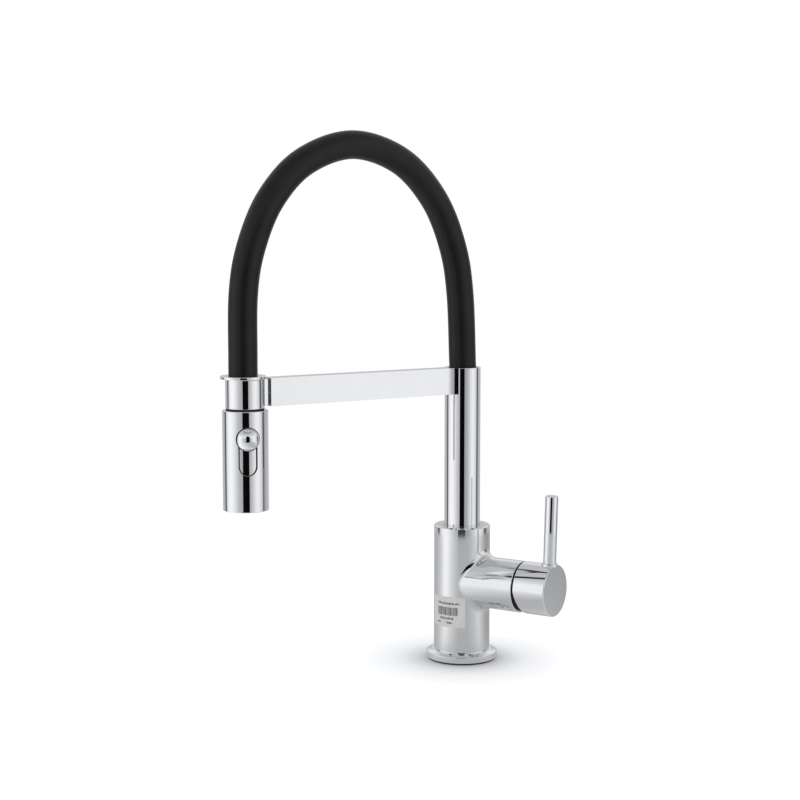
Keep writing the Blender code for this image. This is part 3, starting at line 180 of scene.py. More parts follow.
# Printed rules made of dashes: left, right, bottom and height.
RULES = ((-9.0, 10.5, 46.6, 1.7), (-6.5, 6.0, 34.8, 1.7), (-9.5, -6.0, 31.6, 1.3), (0.0, 5.0, 31.4, 1.5))
DASH_WIDTHS = (0.9, 0.5, 1.2, 0.7)
DASH_HEIGHTS = (1, 0.7, 1, 0.8, 0.6)
DASH_GAP = 0.3
SLOT_EDGE = 0.12
# The strip of painted shade inside the slot, which stands for the shadowed gap at its edge.
SLOT_SHADE_STRIP = (0.02, 0.45, 0.8)  # gap to the slot's edge, width and depth
# The thickness of the black ring of painted shade at the knob's foot.
SHADE_RING_THICK = 0.45

SPOUT = Matrix.Rotation(SPOUT_SWING, 4, "Z")
HEAD = SPOUT @ Matrix.Translation((0, -REACH, 0))
DIVERTER = HEAD @ Matrix.Rotation(DIVERTER_TURN, 4, "Z")
BRANCH = Matrix.Translation((0, 0, BRANCH_HEIGHT)) @ Matrix.Rotation(QUARTER, 4, "Y")


# ---------------------------------------------------------------- mesh tools
def even(low, high, count):
    """The ends of count equal steps from low to high."""
    return [low + (high - low) * step / count for step in range(count + 1)]


def full_turn(sides=ROUND):
    return even(0, TAU, sides)


def round_point(radius, turn, height):
    """A point by its radius and turn about the Z axis. The height can be a function of the two."""
    if callable(height):
        height = height(radius, turn)
    return radius * math.cos(turn), radius * math.sin(turn), height


def on_wall(radius, turn, height, sign=1):
    """A corner of a round wall that looks outwards or, with a sign of -1, inwards."""
    return round_point(radius, turn, height), (sign * math.cos(turn), sign * math.sin(turn), 0)


def rounded_runs(corners, closed=False):
    """A profile of (radius, height, rounding) as runs of (radius, height, normal). A run ends at a sharp
    corner.

    The outer side of a profile goes up, which makes its normals look outwards.
    """
    count = len(corners)
    runs = [[]]
    for number in range(count + 1 if closed else count):
        corner = corners[number % count]
        point = Vector(corner[:2])
        rounding = corner[2] if len(corner) > 2 else 0
        before = Vector(corners[(number - 1) % count][:2])
        after = Vector(corners[(number + 1) % count][:2])
        if not closed and number in (0, count - 1):
            way = (after - point).normalized() if number == 0 else (point - before).normalized()
            runs[-1].append((point.x, point.y, (way.y, -way.x)))
            continue
        arrive = (point - before).normalized()
        leave = (after - point).normalized()
        turn = math.atan2(arrive.x * leave.y - arrive.y * leave.x, arrive.dot(leave))
        if rounding <= 0 or abs(turn) < 1e-4:
            runs[-1].append((point.x, point.y, (arrive.y, -arrive.x)))
            runs.append([(point.x, point.y, (leave.y, -leave.x))])
            continue
        room = 0.48 * min((point - before).length, (after - point).length)
        back = min(rounding * math.tan(abs(turn) / 2), room)
        radius = back / math.tan(abs(turn) / 2)
        start = point - arrive * back
        side = Vector((-arrive.y, arrive.x)) * math.copysign(1, turn)
        centre = start + side * radius
        steps = max(2, round(ARC_STEPS * abs(turn) / QUARTER))
        for step in range(1 if number == count else steps + 1):
            spin = turn * step / steps
            cos, sin = math.cos(spin), math.sin(spin)
            out = Vector((-side.x * cos + side.y * sin, -side.x * sin - side.y * cos))
            normal = (arrive.y * cos + arrive.x * sin, arrive.y * sin - arrive.x * cos)
            place = centre + out * radius
            runs[-1].append((place.x, place.y, normal))
    return [run for run in runs if len(run) > 1]


def turned_rows(run, turns, centre=(0, 0)):
    rows = []
    for radius, height, normal in run:
        row = []
        for turn in turns:
            cos, sin = math.cos(turn), math.sin(turn)
            point = (radius * cos + centre[0], radius * sin + centre[1], height)
            row.append((point, (normal[0] * cos, normal[0] * sin, normal[1])))
        rows.append(row)
    return rows


def mesh_object(name, points, faces, material):
    """An object in the scene, from points in millimetres."""
    mesh = bpy.data.meshes.new(name)
    mesh.from_pydata([Vector(point) * MM for point in points], [], faces)
    mesh.materials.append(material)
    obj = bpy.data.objects.new(name, mesh)
    bpy.context.scene.collection.objects.link(obj)
    return obj


class Skin:
    """Faces whose corners carry their own normals. Corners at one place share a vertex."""

    def __init__(self):
        self.index = {}
        self.points = []
        self.faces = []
        self.normals = []

    def vertex(self, point):
        key = tuple(round(value, 4) for value in point)
        if key not in self.index:
            self.index[key] = len(self.points)
            self.points.append(key)
        return self.index[key]

    def face(self, corners):
        """corners are (point, normal) pairs; the normals say which way the face looks."""
        kept = []
        for point, normal in corners:
            number = self.vertex(point)
            if all(number != other for other, _ in kept):
                kept.append((number, Vector(normal)))
        if len(kept) < 3:
            return
        places = [Vector(self.points[number]) for number, _ in kept]
        area = Vector((0, 0, 0))
        for one, two in zip(places[1:], places[2:]):
            area += (one - places[0]).cross(two - places[0])
        if area.length < 1e-9:
            return
        if area.dot(sum((normal for _, normal in kept), Vector((0, 0, 0)))) < 0:
            kept.reverse()
        self.faces.append([number for number, _ in kept])
        self.normals += [normal.normalized() for _, normal in kept]

    def grid(self, rows):
        for low, high in zip(rows, rows[1:]):
            for step in range(len(low) - 1):
                self.face((low[step], low[step + 1], high[step + 1], high[step]))

    def wall(self, radius, turns, heights, sign=1):
        """A round wall from each height to the next."""
        self.grid([[on_wall(radius, turn, height, sign) for turn in turns] for height in heights])

    def lid(self, radii, turns, height, sign):
        """A ring from each radius to the next, which looks up or, with a sign of -1, down."""
        self.grid([[(round_point(radius, turn, height), (0, 0, sign)) for turn in turns] for radius in radii])

    def bent_plate(self, radii, turns, heights, with_back=True):
        """A plate bent round the Z axis. One that lies on another surface has no back."""
        self.wall(radii[1], turns, heights)
        if with_back:
            self.wall(radii[0], turns, heights, -1)
        for height, sign in zip(heights, (-1, 1)):
            self.lid(radii, turns, height, sign)
        for turn, sign in ((turns[0], -1), (turns[-1], 1)):
            normal = (-math.sin(turn) * sign, math.cos(turn) * sign, 0)
            places = [[round_point(radius, turn, height) for radius in radii] for height in heights]
            self.grid([[(place, normal) for place in row] for row in places])

    def box(self, low, high):
        for axis in range(3):
            one, two = [other for other in range(3) if other != axis]
            for place, sign in ((low[axis], -1), (high[axis], 1)):
                normal = [0, 0, 0]
                normal[axis] = sign
                corners = []
                for first, second in ((low, low), (high, low), (high, high), (low, high)):
                    point = [0, 0, 0]
                    point[axis], point[one], point[two] = place, first[one], second[two]
                    corners.append((tuple(point), tuple(normal)))
                self.face(corners)

    def revolve(self, corners, closed=False, sides=ROUND, centre=(0, 0)):
        """Turns a profile of (radius, height, rounding) about an upright through the centre."""
        for run in rounded_runs(corners, closed):
            self.grid(turned_rows(run, full_turn(sides), centre))

    def finish(self, name, material, place=Matrix.Identity(4)):
        obj = mesh_object(name, [place @ Vector(point) for point in self.points], self.faces, material)
        obj.data.shade_smooth()
        turn = place.to_3x3()
        obj.data.normals_split_custom_set([turn @ normal for normal in self.normals])
        return obj


def turned(name, corners, material, place=Matrix.Identity(4), closed=True, sides=ROUND):
    skin = Skin()
    skin.revolve(corners, closed, sides)
    return skin.finish(name, material, place)


def ring(inner, outer, low, high, rounding):
    return [(inner, low, rounding), (outer, low, rounding), (outer, high, rounding), (inner, high, rounding)]


def wall_patch(skin, radius, box, rows, edge_points, hole, steps=6):
    """The part of a round wall between a hole and a box.

    The box holds its two turns and two heights, and the turn and height of the hole's centre.

    hole(angle) gives the rim as (arc length, height) from the hole's centre. The rows go on inwards from it.
    """
    turn_low, turn_high, low, high, centre_turn, centre_height = box
    left = (turn_low - centre_turn) * radius
    right = (turn_high - centre_turn) * radius
    bottom, top = low - centre_height, high - centre_height
    across, up = edge_points
    corners = ((left, bottom), (right, bottom), (right, top), (left, top), (left, bottom))
    border = []
    for start, end, count in zip(corners, corners[1:], (across, up, across, up)):
        border += list(zip(even(start[0], end[0], count), even(start[1], end[1], count)))[:-1]
    border.append(border[0])
    spread_out = []
    for share in reversed(even(0, 1, steps)):
        line = []
        for u, v in border:
            rim_u, rim_v = hole(math.atan2(v, u))
            turn = centre_turn + (rim_u + (u - rim_u) * share) / radius
            line.append(on_wall(radius, turn, centre_height + (rim_v + (v - rim_v) * share)))
        spread_out.append(line)
    skin.grid(spread_out)
    skin.grid([[ring_at(math.atan2(v, u)) for u, v in border] for ring_at in rows])


def outer_wall(skin, radius, heights, skipped=()):
    """A round wall all the way round between the heights, without the ranges of sides that are skipped."""
    for low, high in zip(heights, heights[1:]):
        for step in range(ROUND):
            if any(first <= step < last for first, last in skipped):
                continue
            places = ((step, low), (step + 1, low), (step + 1, high), (step, high))
            skin.face([on_wall(radius, TAU * number / ROUND, height) for number, height in places])


def slot_rim(half, reach, angle):
    """Where a ray at the angle leaves a round-ended slot, and the way from there to its middle line."""
    cos, sin = math.cos(angle), math.sin(angle)
    side = abs(sin / cos) * half if abs(cos) > 1e-9 else math.inf
    if side <= reach:
        return math.copysign(half, cos), math.copysign(side, sin), (-math.copysign(1, cos), 0)
    along = abs(sin) * reach + math.sqrt(half**2 - (reach * cos) ** 2)
    u, v = along * cos, along * sin
    middle = math.copysign(reach, sin)
    return u, v, (-u / half, (middle - v) / half)


def slot_ring(radius, centre_turn, centre_height, half, reach, sunk, lean):
    """A ring round a slot in a round wall, as a function of the angle from the slot's centre.

    It lies sunk below the wall, and its normals lean from outwards to the slot's middle line.
    """

    def at(angle):
        u, v, inward = slot_rim(half, reach, angle)
        turn = centre_turn + u / radius
        out = Vector((math.cos(turn), math.sin(turn), 0))
        across = Vector((-math.sin(turn), math.cos(turn), 0))
        point = out * (radius - sunk) + Vector((0, 0, centre_height + v))
        into = across * inward[0] + Vector((0, 0, inward[1]))
        return tuple(point), out * math.cos(lean) + into * math.sin(lean)

    return at


def slot_in_wall(skin, radius, box, half, reach, edge, depth, edge_points):
    """The part of a round wall inside the box, with a round-ended slot through it."""
    rows = []
    for lean in even(0, QUARTER, RIM_STEPS):
        width = half + edge * (1 - math.sin(lean))
        rows.append(slot_ring(radius, *box[4:], width, reach, edge * (1 - math.cos(lean)), lean))
    rows.append(slot_ring(radius, *box[4:], half, reach, depth, QUARTER))
    wall_patch(skin, radius, box, rows, edge_points, lambda angle: slot_rim(half + edge, reach, angle)[:2])


# ---------------------------------------------------------------- materials
def new_material(name):
    made = bpy.data.materials.new(name)
    made.use_nodes = True
    return made, made.node_tree, made.node_tree.nodes["Principled BSDF"].inputs


def put(tree, value, socket):
    """Gives a socket a number, a colour or another node's output."""
    if isinstance(value, (int, float, tuple)):
        socket.default_value = value
    else:
        tree.links.new(value, socket)


def maths(tree, operation, *values):
    node = tree.nodes.new("ShaderNodeMath")
    node.operation = operation
    for value, socket in zip(values, node.inputs):
        put(tree, value, socket)
    return node.outputs["Value"]


def mixed(tree, factor, first, second):
    """Goes from the first colour to the second as the factor goes from 0 to 1."""
    node = tree.nodes.new("ShaderNodeMix")
    node.data_type = "RGBA"
    put(tree, factor, node.inputs["Factor"])
    put(tree, first, node.inputs["A"])
    put(tree, second, node.inputs["B"])
    return node.outputs["Result"]


def object_noise(tree, scale, detail=3.0, stretch=(1, 1, 1)):
    place = tree.nodes.new("ShaderNodeTexCoord")
    mapping = tree.nodes.new("ShaderNodeMapping")
    mapping.inputs["Scale"].default_value = stretch
    noise = tree.nodes.new("ShaderNodeTexNoise")
    noise.inputs["Scale"].default_value = scale
    noise.inputs["Detail"].default_value = detail
    tree.links.new(place.outputs["Object"], mapping.inputs["Vector"])
    tree.links.new(mapping.outputs["Vector"], noise.inputs["Vector"])
    return noise.outputs["Fac"]


def spread(tree, source, low, high):
    """Takes the middle of a noise, where nearly all of it lies, to the range from low to high."""
    change = tree.nodes.new("ShaderNodeMapRange")
    values = {"Value": source, "From Min": 0.3, "From Max": 0.7, "To Min": low, "To Max": high}
    for name, value in values.items():
        put(tree, value, change.inputs[name])
    return change.outputs["Result"]


def surface(name, colour, darker, rough, metallic, scales, bump=0.0, stretch=(1, 1, 1), specular=0.5):
    """A material whose colour, roughness and relief all vary a little over the surface.

    The scales are those of the noise in the colour and of the noise in the roughness and the relief.
    """
    made, tree, inputs = new_material(name)
    inputs["Metallic"].default_value = metallic
    inputs["Specular IOR Level"].default_value = specular
    patches = spread(tree, object_noise(tree, scales[0]), 0, 1)
    put(tree, mixed(tree, patches, (*colour, 1), (*darker, 1)), inputs["Base Color"])
    fine = object_noise(tree, scales[1], 4.0, stretch)
    put(tree, spread(tree, fine, *rough), inputs["Roughness"])
    if bump:
        relief = tree.nodes.new("ShaderNodeBump")
        relief.inputs["Strength"].default_value = bump
        relief.inputs["Distance"].default_value = 0.2 * MM
        put(tree, fine, relief.inputs["Height"])
        put(tree, relief.outputs["Normal"], inputs["Normal"])
    return made


TURNED_GRAIN = (1, 1, 12)
CHROME = surface("chrome", (0.83, 0.84, 0.86), (0.80, 0.81, 0.84), (0.025, 0.045), 1.0, (25, 60))
CAST_CHROME = surface("cast_chrome", (0.79, 0.80, 0.82), (0.76, 0.77, 0.79), (0.045, 0.075), 1.0, (25, 45))
SATIN_END = surface("satin_end", (0.62, 0.63, 0.65), (0.57, 0.58, 0.6), (0.34, 0.42), 1.0, (25, 200), 0.05)
BRASS = surface(
    "machined_brass", (0.74, 0.56, 0.29), (0.62, 0.45, 0.22), (0.2, 0.38), 1.0, (60, 500), 0.2, TURNED_GRAIN
)
STEEL = surface(
    "machined_steel", (0.58, 0.59, 0.61), (0.47, 0.48, 0.5), (0.18, 0.34), 1.0, (60, 500), 0.2, TURNED_GRAIN
)
SHEATH = surface(
    "sheath_rubber",
    (0.004, 0.004, 0.0044),
    (0.007, 0.007, 0.0076),
    (0.36, 0.44),
    0.0,
    (90, 900),
    0.06,
    specular=0.3,
)
RUBBER = surface("seal_rubber", (0.013, 0.013, 0.013), (0.02, 0.02, 0.02), (0.5, 0.7), 0.0, (120, 900), 0.2)
BRAID = surface("hose_braid", (0.45, 0.46, 0.48), (0.3, 0.31, 0.33), (0.35, 0.55), 0.3, (500, 900), 0.3)
WHITE = surface("white_acetal", (0.82, 0.82, 0.8), (0.75, 0.75, 0.73), (0.32, 0.5), 0.0, (50, 300), 0.1)
GREY = surface("grey_plastic", (0.30, 0.31, 0.33), (0.24, 0.25, 0.27), (0.35, 0.5), 0.0, (80, 600), 0.2)
CERAMIC = surface("ceramic", (0.88, 0.86, 0.82), (0.82, 0.8, 0.76), (0.12, 0.25), 0.0, (40, 300), 0.05)
PAPER = surface("label_paper", (0.68, 0.68, 0.67), (0.62, 0.62, 0.61), (0.5, 0.65), 0.0, (90, 900), 0.15)
INK = surface("label_ink", (0.05, 0.05, 0.055), (0.12, 0.12, 0.125), (0.5, 0.65), 0.0, (300, 900), 0.05)
SLOT_MATERIALS = {
    "chrome": CHROME,
    "sheath_rubber": SHEATH,
    "seal_rubber": RUBBER,
    "hose_braid": BRAID,
    "brass": BRASS,
    "steel": STEEL,
    "white_plastic": WHITE,
    "grey_plastic": GREY,
    "ceramic": CERAMIC,
    "paper": PAPER,
}


def settle(obj, body, slot, *nodes):
    """The piece rides on its body and stands for the CAD nodes."""
    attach(obj, body)
    if nodes:
        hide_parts(*nodes)


# ---------------------------------------------------------------- base and body
def base():
    gasket_profile = ring(FLANGE_BORE, GASKET_RADIUS, 0, GASKET_TOP, 0.35)
    settle(turned("base_gasket_ring", gasket_profile, RUBBER), "mixer_body", "seal_rubber", "base_gasket")
    flange_profile = [
        (FLANGE_BORE, FLANGE_BOTTOM, 0.2),
        (FLANGE_RADIUS, FLANGE_BOTTOM, 0.5),
        (FLANGE_RADIUS, FLANGE_TOP - 0.3, 0.6),
        (FLANGE_STEP, FLANGE_TOP + 0.7, 0.5),
        (FLANGE_NECK, FLANGE_CROWN, 0.4),
        (FLANGE_BORE, FLANGE_CROWN, 0.1),
    ]
    settle(turned("turned_flange", flange_profile, CHROME), "mixer_body", "chrome", "base_flange")


def ball_centre(around):
    """Where a ball that touches body and branch has its middle, by the angle around the branch."""
    far = BRANCH_RADIUS + BRANCH_FILLET
    y, z = far * math.cos(around), far * math.sin(around)
    return math.sqrt((BODY_RADIUS + BRANCH_FILLET) ** 2 - y**2), y, z


def blend_rim(around):
    """Where the blend starts on the body, as (arc length, height) from the branch's axis."""
    x, y, z = ball_centre(around)
    return BODY_RADIUS * math.atan2(y, x), z


# Directions from the branch's axis on the unrolled wall, each with its angle around the branch.
BLEND_TABLE = []
for table_around in even(-math.pi, math.pi, 1440):
    table_arc, table_height = blend_rim(table_around)
    BLEND_TABLE.append((math.atan2(table_height, table_arc), table_around))
BLEND_TABLE.sort()


def around_branch(angle):
    """The angle around the branch of the point that lies in a direction on the unrolled wall."""
    angle = math.atan2(math.sin(angle), math.cos(angle))
    after = bisect.bisect_right(BLEND_TABLE, angle, 1, len(BLEND_TABLE) - 1, key=lambda entry: entry[0])
    (from_angle, start), (to_angle, end) = BLEND_TABLE[after - 1], BLEND_TABLE[after]
    share = 0 if to_angle == from_angle else (angle - from_angle) / (to_angle - from_angle)
    return start + (end - start) * share


def blend_ring(share):
    """A ring on the blend, at 0 on the body and at 1 on the branch."""

    def at(angle):
        around = around_branch(angle)
        x, y, z = ball_centre(around)
        wide = BODY_RADIUS + BRANCH_FILLET
        on_body = Vector((x / wide, y / wide, 0))
        normal = on_body.slerp(Vector((0, math.cos(around), math.sin(around))), share)
        point = Vector((x, y, z)) - BRANCH_FILLET * normal
        return (point.x, point.y, point.z + BRANCH_HEIGHT), normal

    return at


def branch_ring(radius, x, out_share, along_share):
    """A ring about the branch's axis, whose normals look outwards and along the branch by these shares."""

    def at(angle):
        around = around_branch(angle)
        out = Vector((0, math.cos(around), math.sin(around)))
        point = out * radius + Vector((x, 0, BRANCH_HEIGHT))
        return tuple(point), out * out_share + Vector((along_share, 0, 0))

    return at


def branch_wall(skin):
    """The body's wall round the branch, the blend, and the branch to the inside of its mouth."""
    edge = 0.4
    rows = [blend_ring(share) for share in even(0, 1, 10)]
    for lean in even(0, QUARTER, RIM_STEPS):
        radius = BRANCH_RADIUS - edge * (1 - math.cos(lean))
        x = BRANCH_REACH - edge * (1 - math.sin(lean))
        rows.append(branch_ring(radius, x, math.cos(lean), math.sin(lean)))
    rows.append(branch_ring(CARTRIDGE_BORE, BRANCH_REACH, 0, 1))
    box = (-PATCH_SIDES * ONE_SIDE, PATCH_SIDES * ONE_SIDE, *PATCH, 0.0, BRANCH_HEIGHT)
    wall_patch(skin, BODY_RADIUS, box, rows, (100, 70), lambda angle: blend_rim(around_branch(angle)), 8)
    bore = [branch_ring(CARTRIDGE_BORE, x, -1, 0) for x in (BRANCH_REACH, BRANCH_REACH - INNER_DEPTH)]
    skin.grid([[ring_at(turn) for turn in full_turn()] for ring_at in bore])


def body_and_branch():
    skin = Skin()
    branch_wall(skin)
    low, high = PATCH
    wall_top = BODY_TOP - 2.0
    outer_wall(skin, BODY_RADIUS, (FOOT_TOP, low))
    outer_wall(skin, BODY_RADIUS, even(low, high, 14), ((0, PATCH_SIDES), (ROUND - PATCH_SIDES, ROUND)))
    outer_wall(skin, BODY_RADIUS, (high, SCREW_PATCH_TOP), (SCREW_SIDES,))
    first, last = SCREW_SIDES
    box = (first * ONE_SIDE, last * ONE_SIDE, high, SCREW_PATCH_TOP, QUARTER, SCREW_LEVEL)
    slot_in_wall(skin, BODY_RADIUS, box, SCREW_HOLE, 0, 0.2, SCREW_DEPTH, (6, 1))
    outer_wall(skin, BODY_RADIUS, (SCREW_PATCH_TOP, wall_top))
    mouth = TUBE_RADIUS + TUBE_GAP
    lip = BODY_TOP - 0.35
    top = [
        (BODY_RADIUS, wall_top),
        (BODY_RADIUS, BODY_TOP - BODY_CHAMFER, 0.5),
        (BODY_RADIUS - BODY_CHAMFER, BODY_TOP, 0.5),
        (mouth, BODY_TOP, 0.15),
        (mouth, lip, 0.05),
        (SWIVEL_BORE, lip, 0.05),
        (SWIVEL_BORE, BODY_TOP - INNER_DEPTH),
    ]
    foot = [
        (0, RECESS_TOP),
        (RECESS_RADIUS, RECESS_TOP, 0.5),
        (RECESS_RADIUS, FLANGE_BOTTOM, 0.4),
        (FOOT_RADIUS, FLANGE_BOTTOM, 0.3),
        (FOOT_RADIUS, FOOT_TOP, 0.1),
        (BODY_RADIUS, FOOT_TOP),
    ]
    for profile in (top, foot):
        skin.revolve(profile)
    settle(skin.finish("cast_body", CAST_CHROME), "mixer_body", "chrome", "faucet_body")


def label():
    """A paper label with generic bars and rules on it, and no words."""
    inner = BODY_RADIUS + LABEL_GAP
    outer = inner + LABEL_THICK
    face = outer + INK_LIFT
    half = LABEL_WIDTH / 2 / BODY_RADIUS
    sheet = Skin()
    turns = even(LABEL_TURN - half, LABEL_TURN + half, 40)
    sheet.bent_plate((inner, outer), turns, LABEL_HEIGHTS, with_back=False)
    settle(sheet.finish("label_sheet", PAPER), "mixer_body", "paper", "paper_label")
    ink = Skin()

    def bar(left, right, bottom, top):
        ink.wall(face, even(LABEL_TURN + left / face, LABEL_TURN + right / face, 3), (bottom, top))

    place, right, bottom, top = BARS
    index = 0
    while place <= right:
        width = BAR_WIDTHS[index % len(BAR_WIDTHS)]
        bar(place, place + width, bottom, top)
        place += width + BAR_GAPS[index % len(BAR_GAPS)]
        index += 1
    for place, right, bottom, height in RULES:
        index = 0
        while place < right:
            width = DASH_WIDTHS[index % len(DASH_WIDTHS)]
            top = bottom + height * DASH_HEIGHTS[index % len(DASH_HEIGHTS)]
            bar(place, min(place + width, right), bottom, top)
            place += width + DASH_GAP
            index += 1
    settle(ink.finish("label_bars", INK), "mixer_body", "paper")


# ---------------------------------------------------------------- lever
def lever_hub():
    """The hub, whose mouth is cut back on its lower half. That relief lets the lever tilt."""
    skin = Skin()
    turns = full_turn()
    edge = 0.3
    wall_end = CAP_END - 2.0
    skin.revolve([(CAP_RADIUS, wall_end), (CAP_RADIUS, CAP_END, 0.7), (0, CAP_END)])

    def mouth(radius, turn):
        return CAP_OPEN + max(0.0, radius * math.cos(turn)) * RELIEF

    def mouth_normal(turn):
        return Vector((RELIEF if math.cos(turn) > 0 else 0, 0, -1)).normalized()

    rows = [[on_wall(CAP_RADIUS, turn, wall_end) for turn in turns]]
    for lean in even(0, QUARTER, RIM_STEPS):
        radius = CAP_RADIUS - edge * (1 - math.cos(lean))
        rise = edge * (1 - math.sin(lean))
        line = []
        for turn in turns:
            out = Vector((math.cos(turn), math.sin(turn), 0))
            normal = out * math.cos(lean) + mouth_normal(turn) * math.sin(lean)
            line.append((round_point(radius, turn, mouth(radius, turn) + rise), normal))
        rows.append(line)
    skin.grid(rows)
    rows = []
    for radius in (CAP_RADIUS - edge, CAP_BORE):
        rows.append([(round_point(radius, turn, mouth), mouth_normal(turn)) for turn in turns])
    skin.grid(rows)
    skin.wall(CAP_BORE, turns, (mouth, CAP_FLOOR), -1)
    boss_end = CAP_FLOOR - BOSS_HEIGHT
    boss = [
        (BOSS_BORE, CAP_FLOOR),
        (BOSS_BORE, boss_end, 0.2),
        (BOSS_RADIUS, boss_end, 0.4),
        (BOSS_RADIUS, CAP_FLOOR, 0.4),
        (CAP_BORE, CAP_FLOOR),
    ]
    skin.revolve(boss)
    settle(skin.finish("lever_hub", CHROME, BRANCH), "lever", "chrome", "handle_cap")


def lever_rod():
    stand = BRANCH @ Matrix.Translation((0, 0, ROD_STATION)) @ Matrix.Rotation(ROD_LEAN - QUARTER, 4, "Y")
    rod_profile = [(0, ROD_FOOT), (ROD_RADIUS, ROD_FOOT, 0.3), (ROD_RADIUS, ROD_TOP, 0.7), (0, ROD_TOP)]
    rod = turned("polished_rod", rod_profile, CHROME, stand, closed=False, sides=72)
    settle(rod, "lever", "chrome", "lever_rod")
    seat = turned("rod_collar", ring(ROD_RADIUS + 0.05, *ROD_SEAT, 0.45), CHROME, stand, sides=72)
    settle(seat, "lever", "chrome", "lever_rod_seat")


# ---------------------------------------------------------------- spout
def column():
    profile = [
        (TUBE_RADIUS, TUBE_BOTTOM),
        (TUBE_RADIUS, TUBE_TOP, 0.35),
        (TUBE_BORE, TUBE_TOP, 0.35),
        (TUBE_BORE, 120.0),
    ]
    settle(turned("column_tube", profile, CHROME, SPOUT, closed=False), "spout", "chrome", "riser_tube")


def bevelled(obj, width):
    bevel = obj.modifiers.new("edges", "BEVEL")
    bevel.width = width * MM
    bevel.segments = 3
    bevel.limit_method = "ANGLE"
    bevel.angle_limit = math.radians(40)
    bevel.harden_normals = True
    return obj


def raised_outline(name, outline, low, high, material, place):
    """A flat outline of (x, y) points raised from low to high. Its last face is the top."""
    count = len(outline)
    points = [place @ Vector((x, y, height)) for height in (low, high) for x, y in outline]
    faces = []
    for index in range(count):
        after = (index + 1) % count
        faces.append([index, after, count + after, count + index])
    faces += [list(range(count - 1, -1, -1)), list(range(count, 2 * count))]
    obj = mesh_object(name, points, faces, material)
    mesh = obj.data
    if mesh.polygons[-1].normal.z < 0:
        mesh.flip_normals()
    mesh.shade_smooth()
    mesh.set_sharp_from_angle(angle=math.radians(35))
    return obj


def docking_arm():
    """The arm, with a fillet on each side at the column and a satin end face."""
    half = ARM_WIDTH / 2
    side = half + ARM_FILLET
    out = math.sqrt((TUBE_RADIUS + ARM_FILLET) ** 2 - side**2)
    flank = math.atan2(side, out)
    inner = TUBE_RADIUS - 0.1
    right = []
    for turn in even(math.pi + flank, math.pi + QUARTER, 16):
        right.append((out + ARM_FILLET * math.cos(turn), side + ARM_FILLET * math.sin(turn)))
    right[0] = (inner * math.cos(flank), inner * math.sin(flank))
    right.append((ARM_END, half))
    left = [(x, -y) for x, y in reversed(right)]
    saddle = [(inner * math.cos(turn), inner * math.sin(turn)) for turn in even(-flank, flank, 12)[1:-1]]
    outline = [(-y, -x) for x, y in right + left + saddle]
    arm = raised_outline("arm_blade", outline[::-1], ARM_BOTTOM, TUBE_TOP, CHROME, SPOUT)
    arm.data.materials.append(SATIN_END)
    arm.data.update()
    outward = SPOUT.to_3x3() @ Vector((0, -1, 0))
    for polygon in arm.data.polygons:
        if polygon.normal.dot(outward) > 0.99:
            polygon.material_index = 1
    settle(bevelled(arm, 0.35), "spout", "chrome", "docking_arm")


def dock_lug():
    """The narrow lug at the arm's end, hollowed to the neck."""
    half = LUG_WIDTH / 2
    clear = NECK_RADIUS + DOCK_GAP
    hollow = [(x, -REACH + math.sqrt(clear**2 - x**2)) for x in even(-half, half, 8)]
    outline = [(-half, -ARM_END + LUG_ROOT), *hollow, (half, -ARM_END + LUG_ROOT)]
    lug = raised_outline("dock_lug", outline, ARM_BOTTOM + LUG_STEP, TUBE_TOP - LUG_STEP, CHROME, SPOUT)
    settle(bevelled(lug, 0.3), "spout", "chrome", "dock_holder")


def smooth_route(points, steps):
    """A smooth curve through the points, with this many steps from each to the next."""
    ends = [2 * points[0] - points[1], *points, 2 * points[-1] - points[-2]]
    route = []
    for before, start, end, after in zip(ends, ends[1:], ends[2:], ends[3:]):
        leave = (end - before) / 2
        arrive = (after - start) / 2
        for step in range(steps):
            t = step / steps
            route.append(
                start * (2 * t**3 - 3 * t**2 + 1)
                + leave * (t**3 - 2 * t**2 + t)
                + end * (3 * t**2 - 2 * t**3)
                + arrive * (t**3 - t**2)
            )
    return [*route, points[-1]]


def tube_along(name, route, radius, material, sides):
    """A closed hose along a route of (out, up) points in the plane of the arch, with flat ends."""
    skin = Skin()
    rows = []
    for index, point in enumerate(route):
        along = (route[min(index + 1, len(route) - 1)] - route[max(index - 1, 0)]).normalized()
        across = Vector((along.y, -along.x))
        line = []
        for turn in full_turn(sides):
            flat = across * math.cos(turn)
            normal = Vector((math.sin(turn), -flat.x, flat.y))
            place = (radius * normal.x, radius * normal.y - point.x, radius * normal.z + point.y)
            line.append((place, normal))
        rows.append(line)
    skin.grid(rows)
    for row, neighbour in ((rows[0], rows[1]), (rows[-1], rows[-2])):
        centre = sum((Vector(point) for point, _ in row[:-1]), Vector((0, 0, 0))) / sides
        inner = sum((Vector(point) for point, _ in neighbour[:-1]), Vector((0, 0, 0))) / sides
        way = (centre - inner).normalized()
        for step in range(sides):
            skin.face([(tuple(centre), way), (row[step][0], way), (row[step + 1][0], way)])
    return skin.finish(name, material, SPOUT)


def hoses():
    """The sheath and the water hose inside it. Both run from inside the column to the hose end."""
    reach = REACH + SHEATH_OFFSET
    knots = [(0, TUBE_TOP), *((out, TUBE_TOP + up) for out, up in ARCH), (reach, SHEATH_END + 9)]
    arch = smooth_route([Vector(knot) for knot in knots], 14)
    sheath_route = [Vector((0, TUBE_TOP - SHEATH_SUNK)), *arch, Vector((reach, SHEATH_END - 0.2))]
    sheath = tube_along("arched_sheath", sheath_route, SHEATH_RADIUS, SHEATH, 64)
    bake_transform(sheath)
    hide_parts("hose_sheath")
    below = [Vector((0, height)) for height in even(HOSE_BOTTOM, 221.0, 13)]
    knots = ((reach, SHEATH_END), (REACH + 0.7, 226), (REACH, 220), (REACH, 216.5))
    tail = [Vector(knot) for knot in knots]
    water = tube_along("water_hose", [*below, *arch, *tail], HOSE_RADIUS, BRAID, 32)
    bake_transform(water)
    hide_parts("inner_hose")


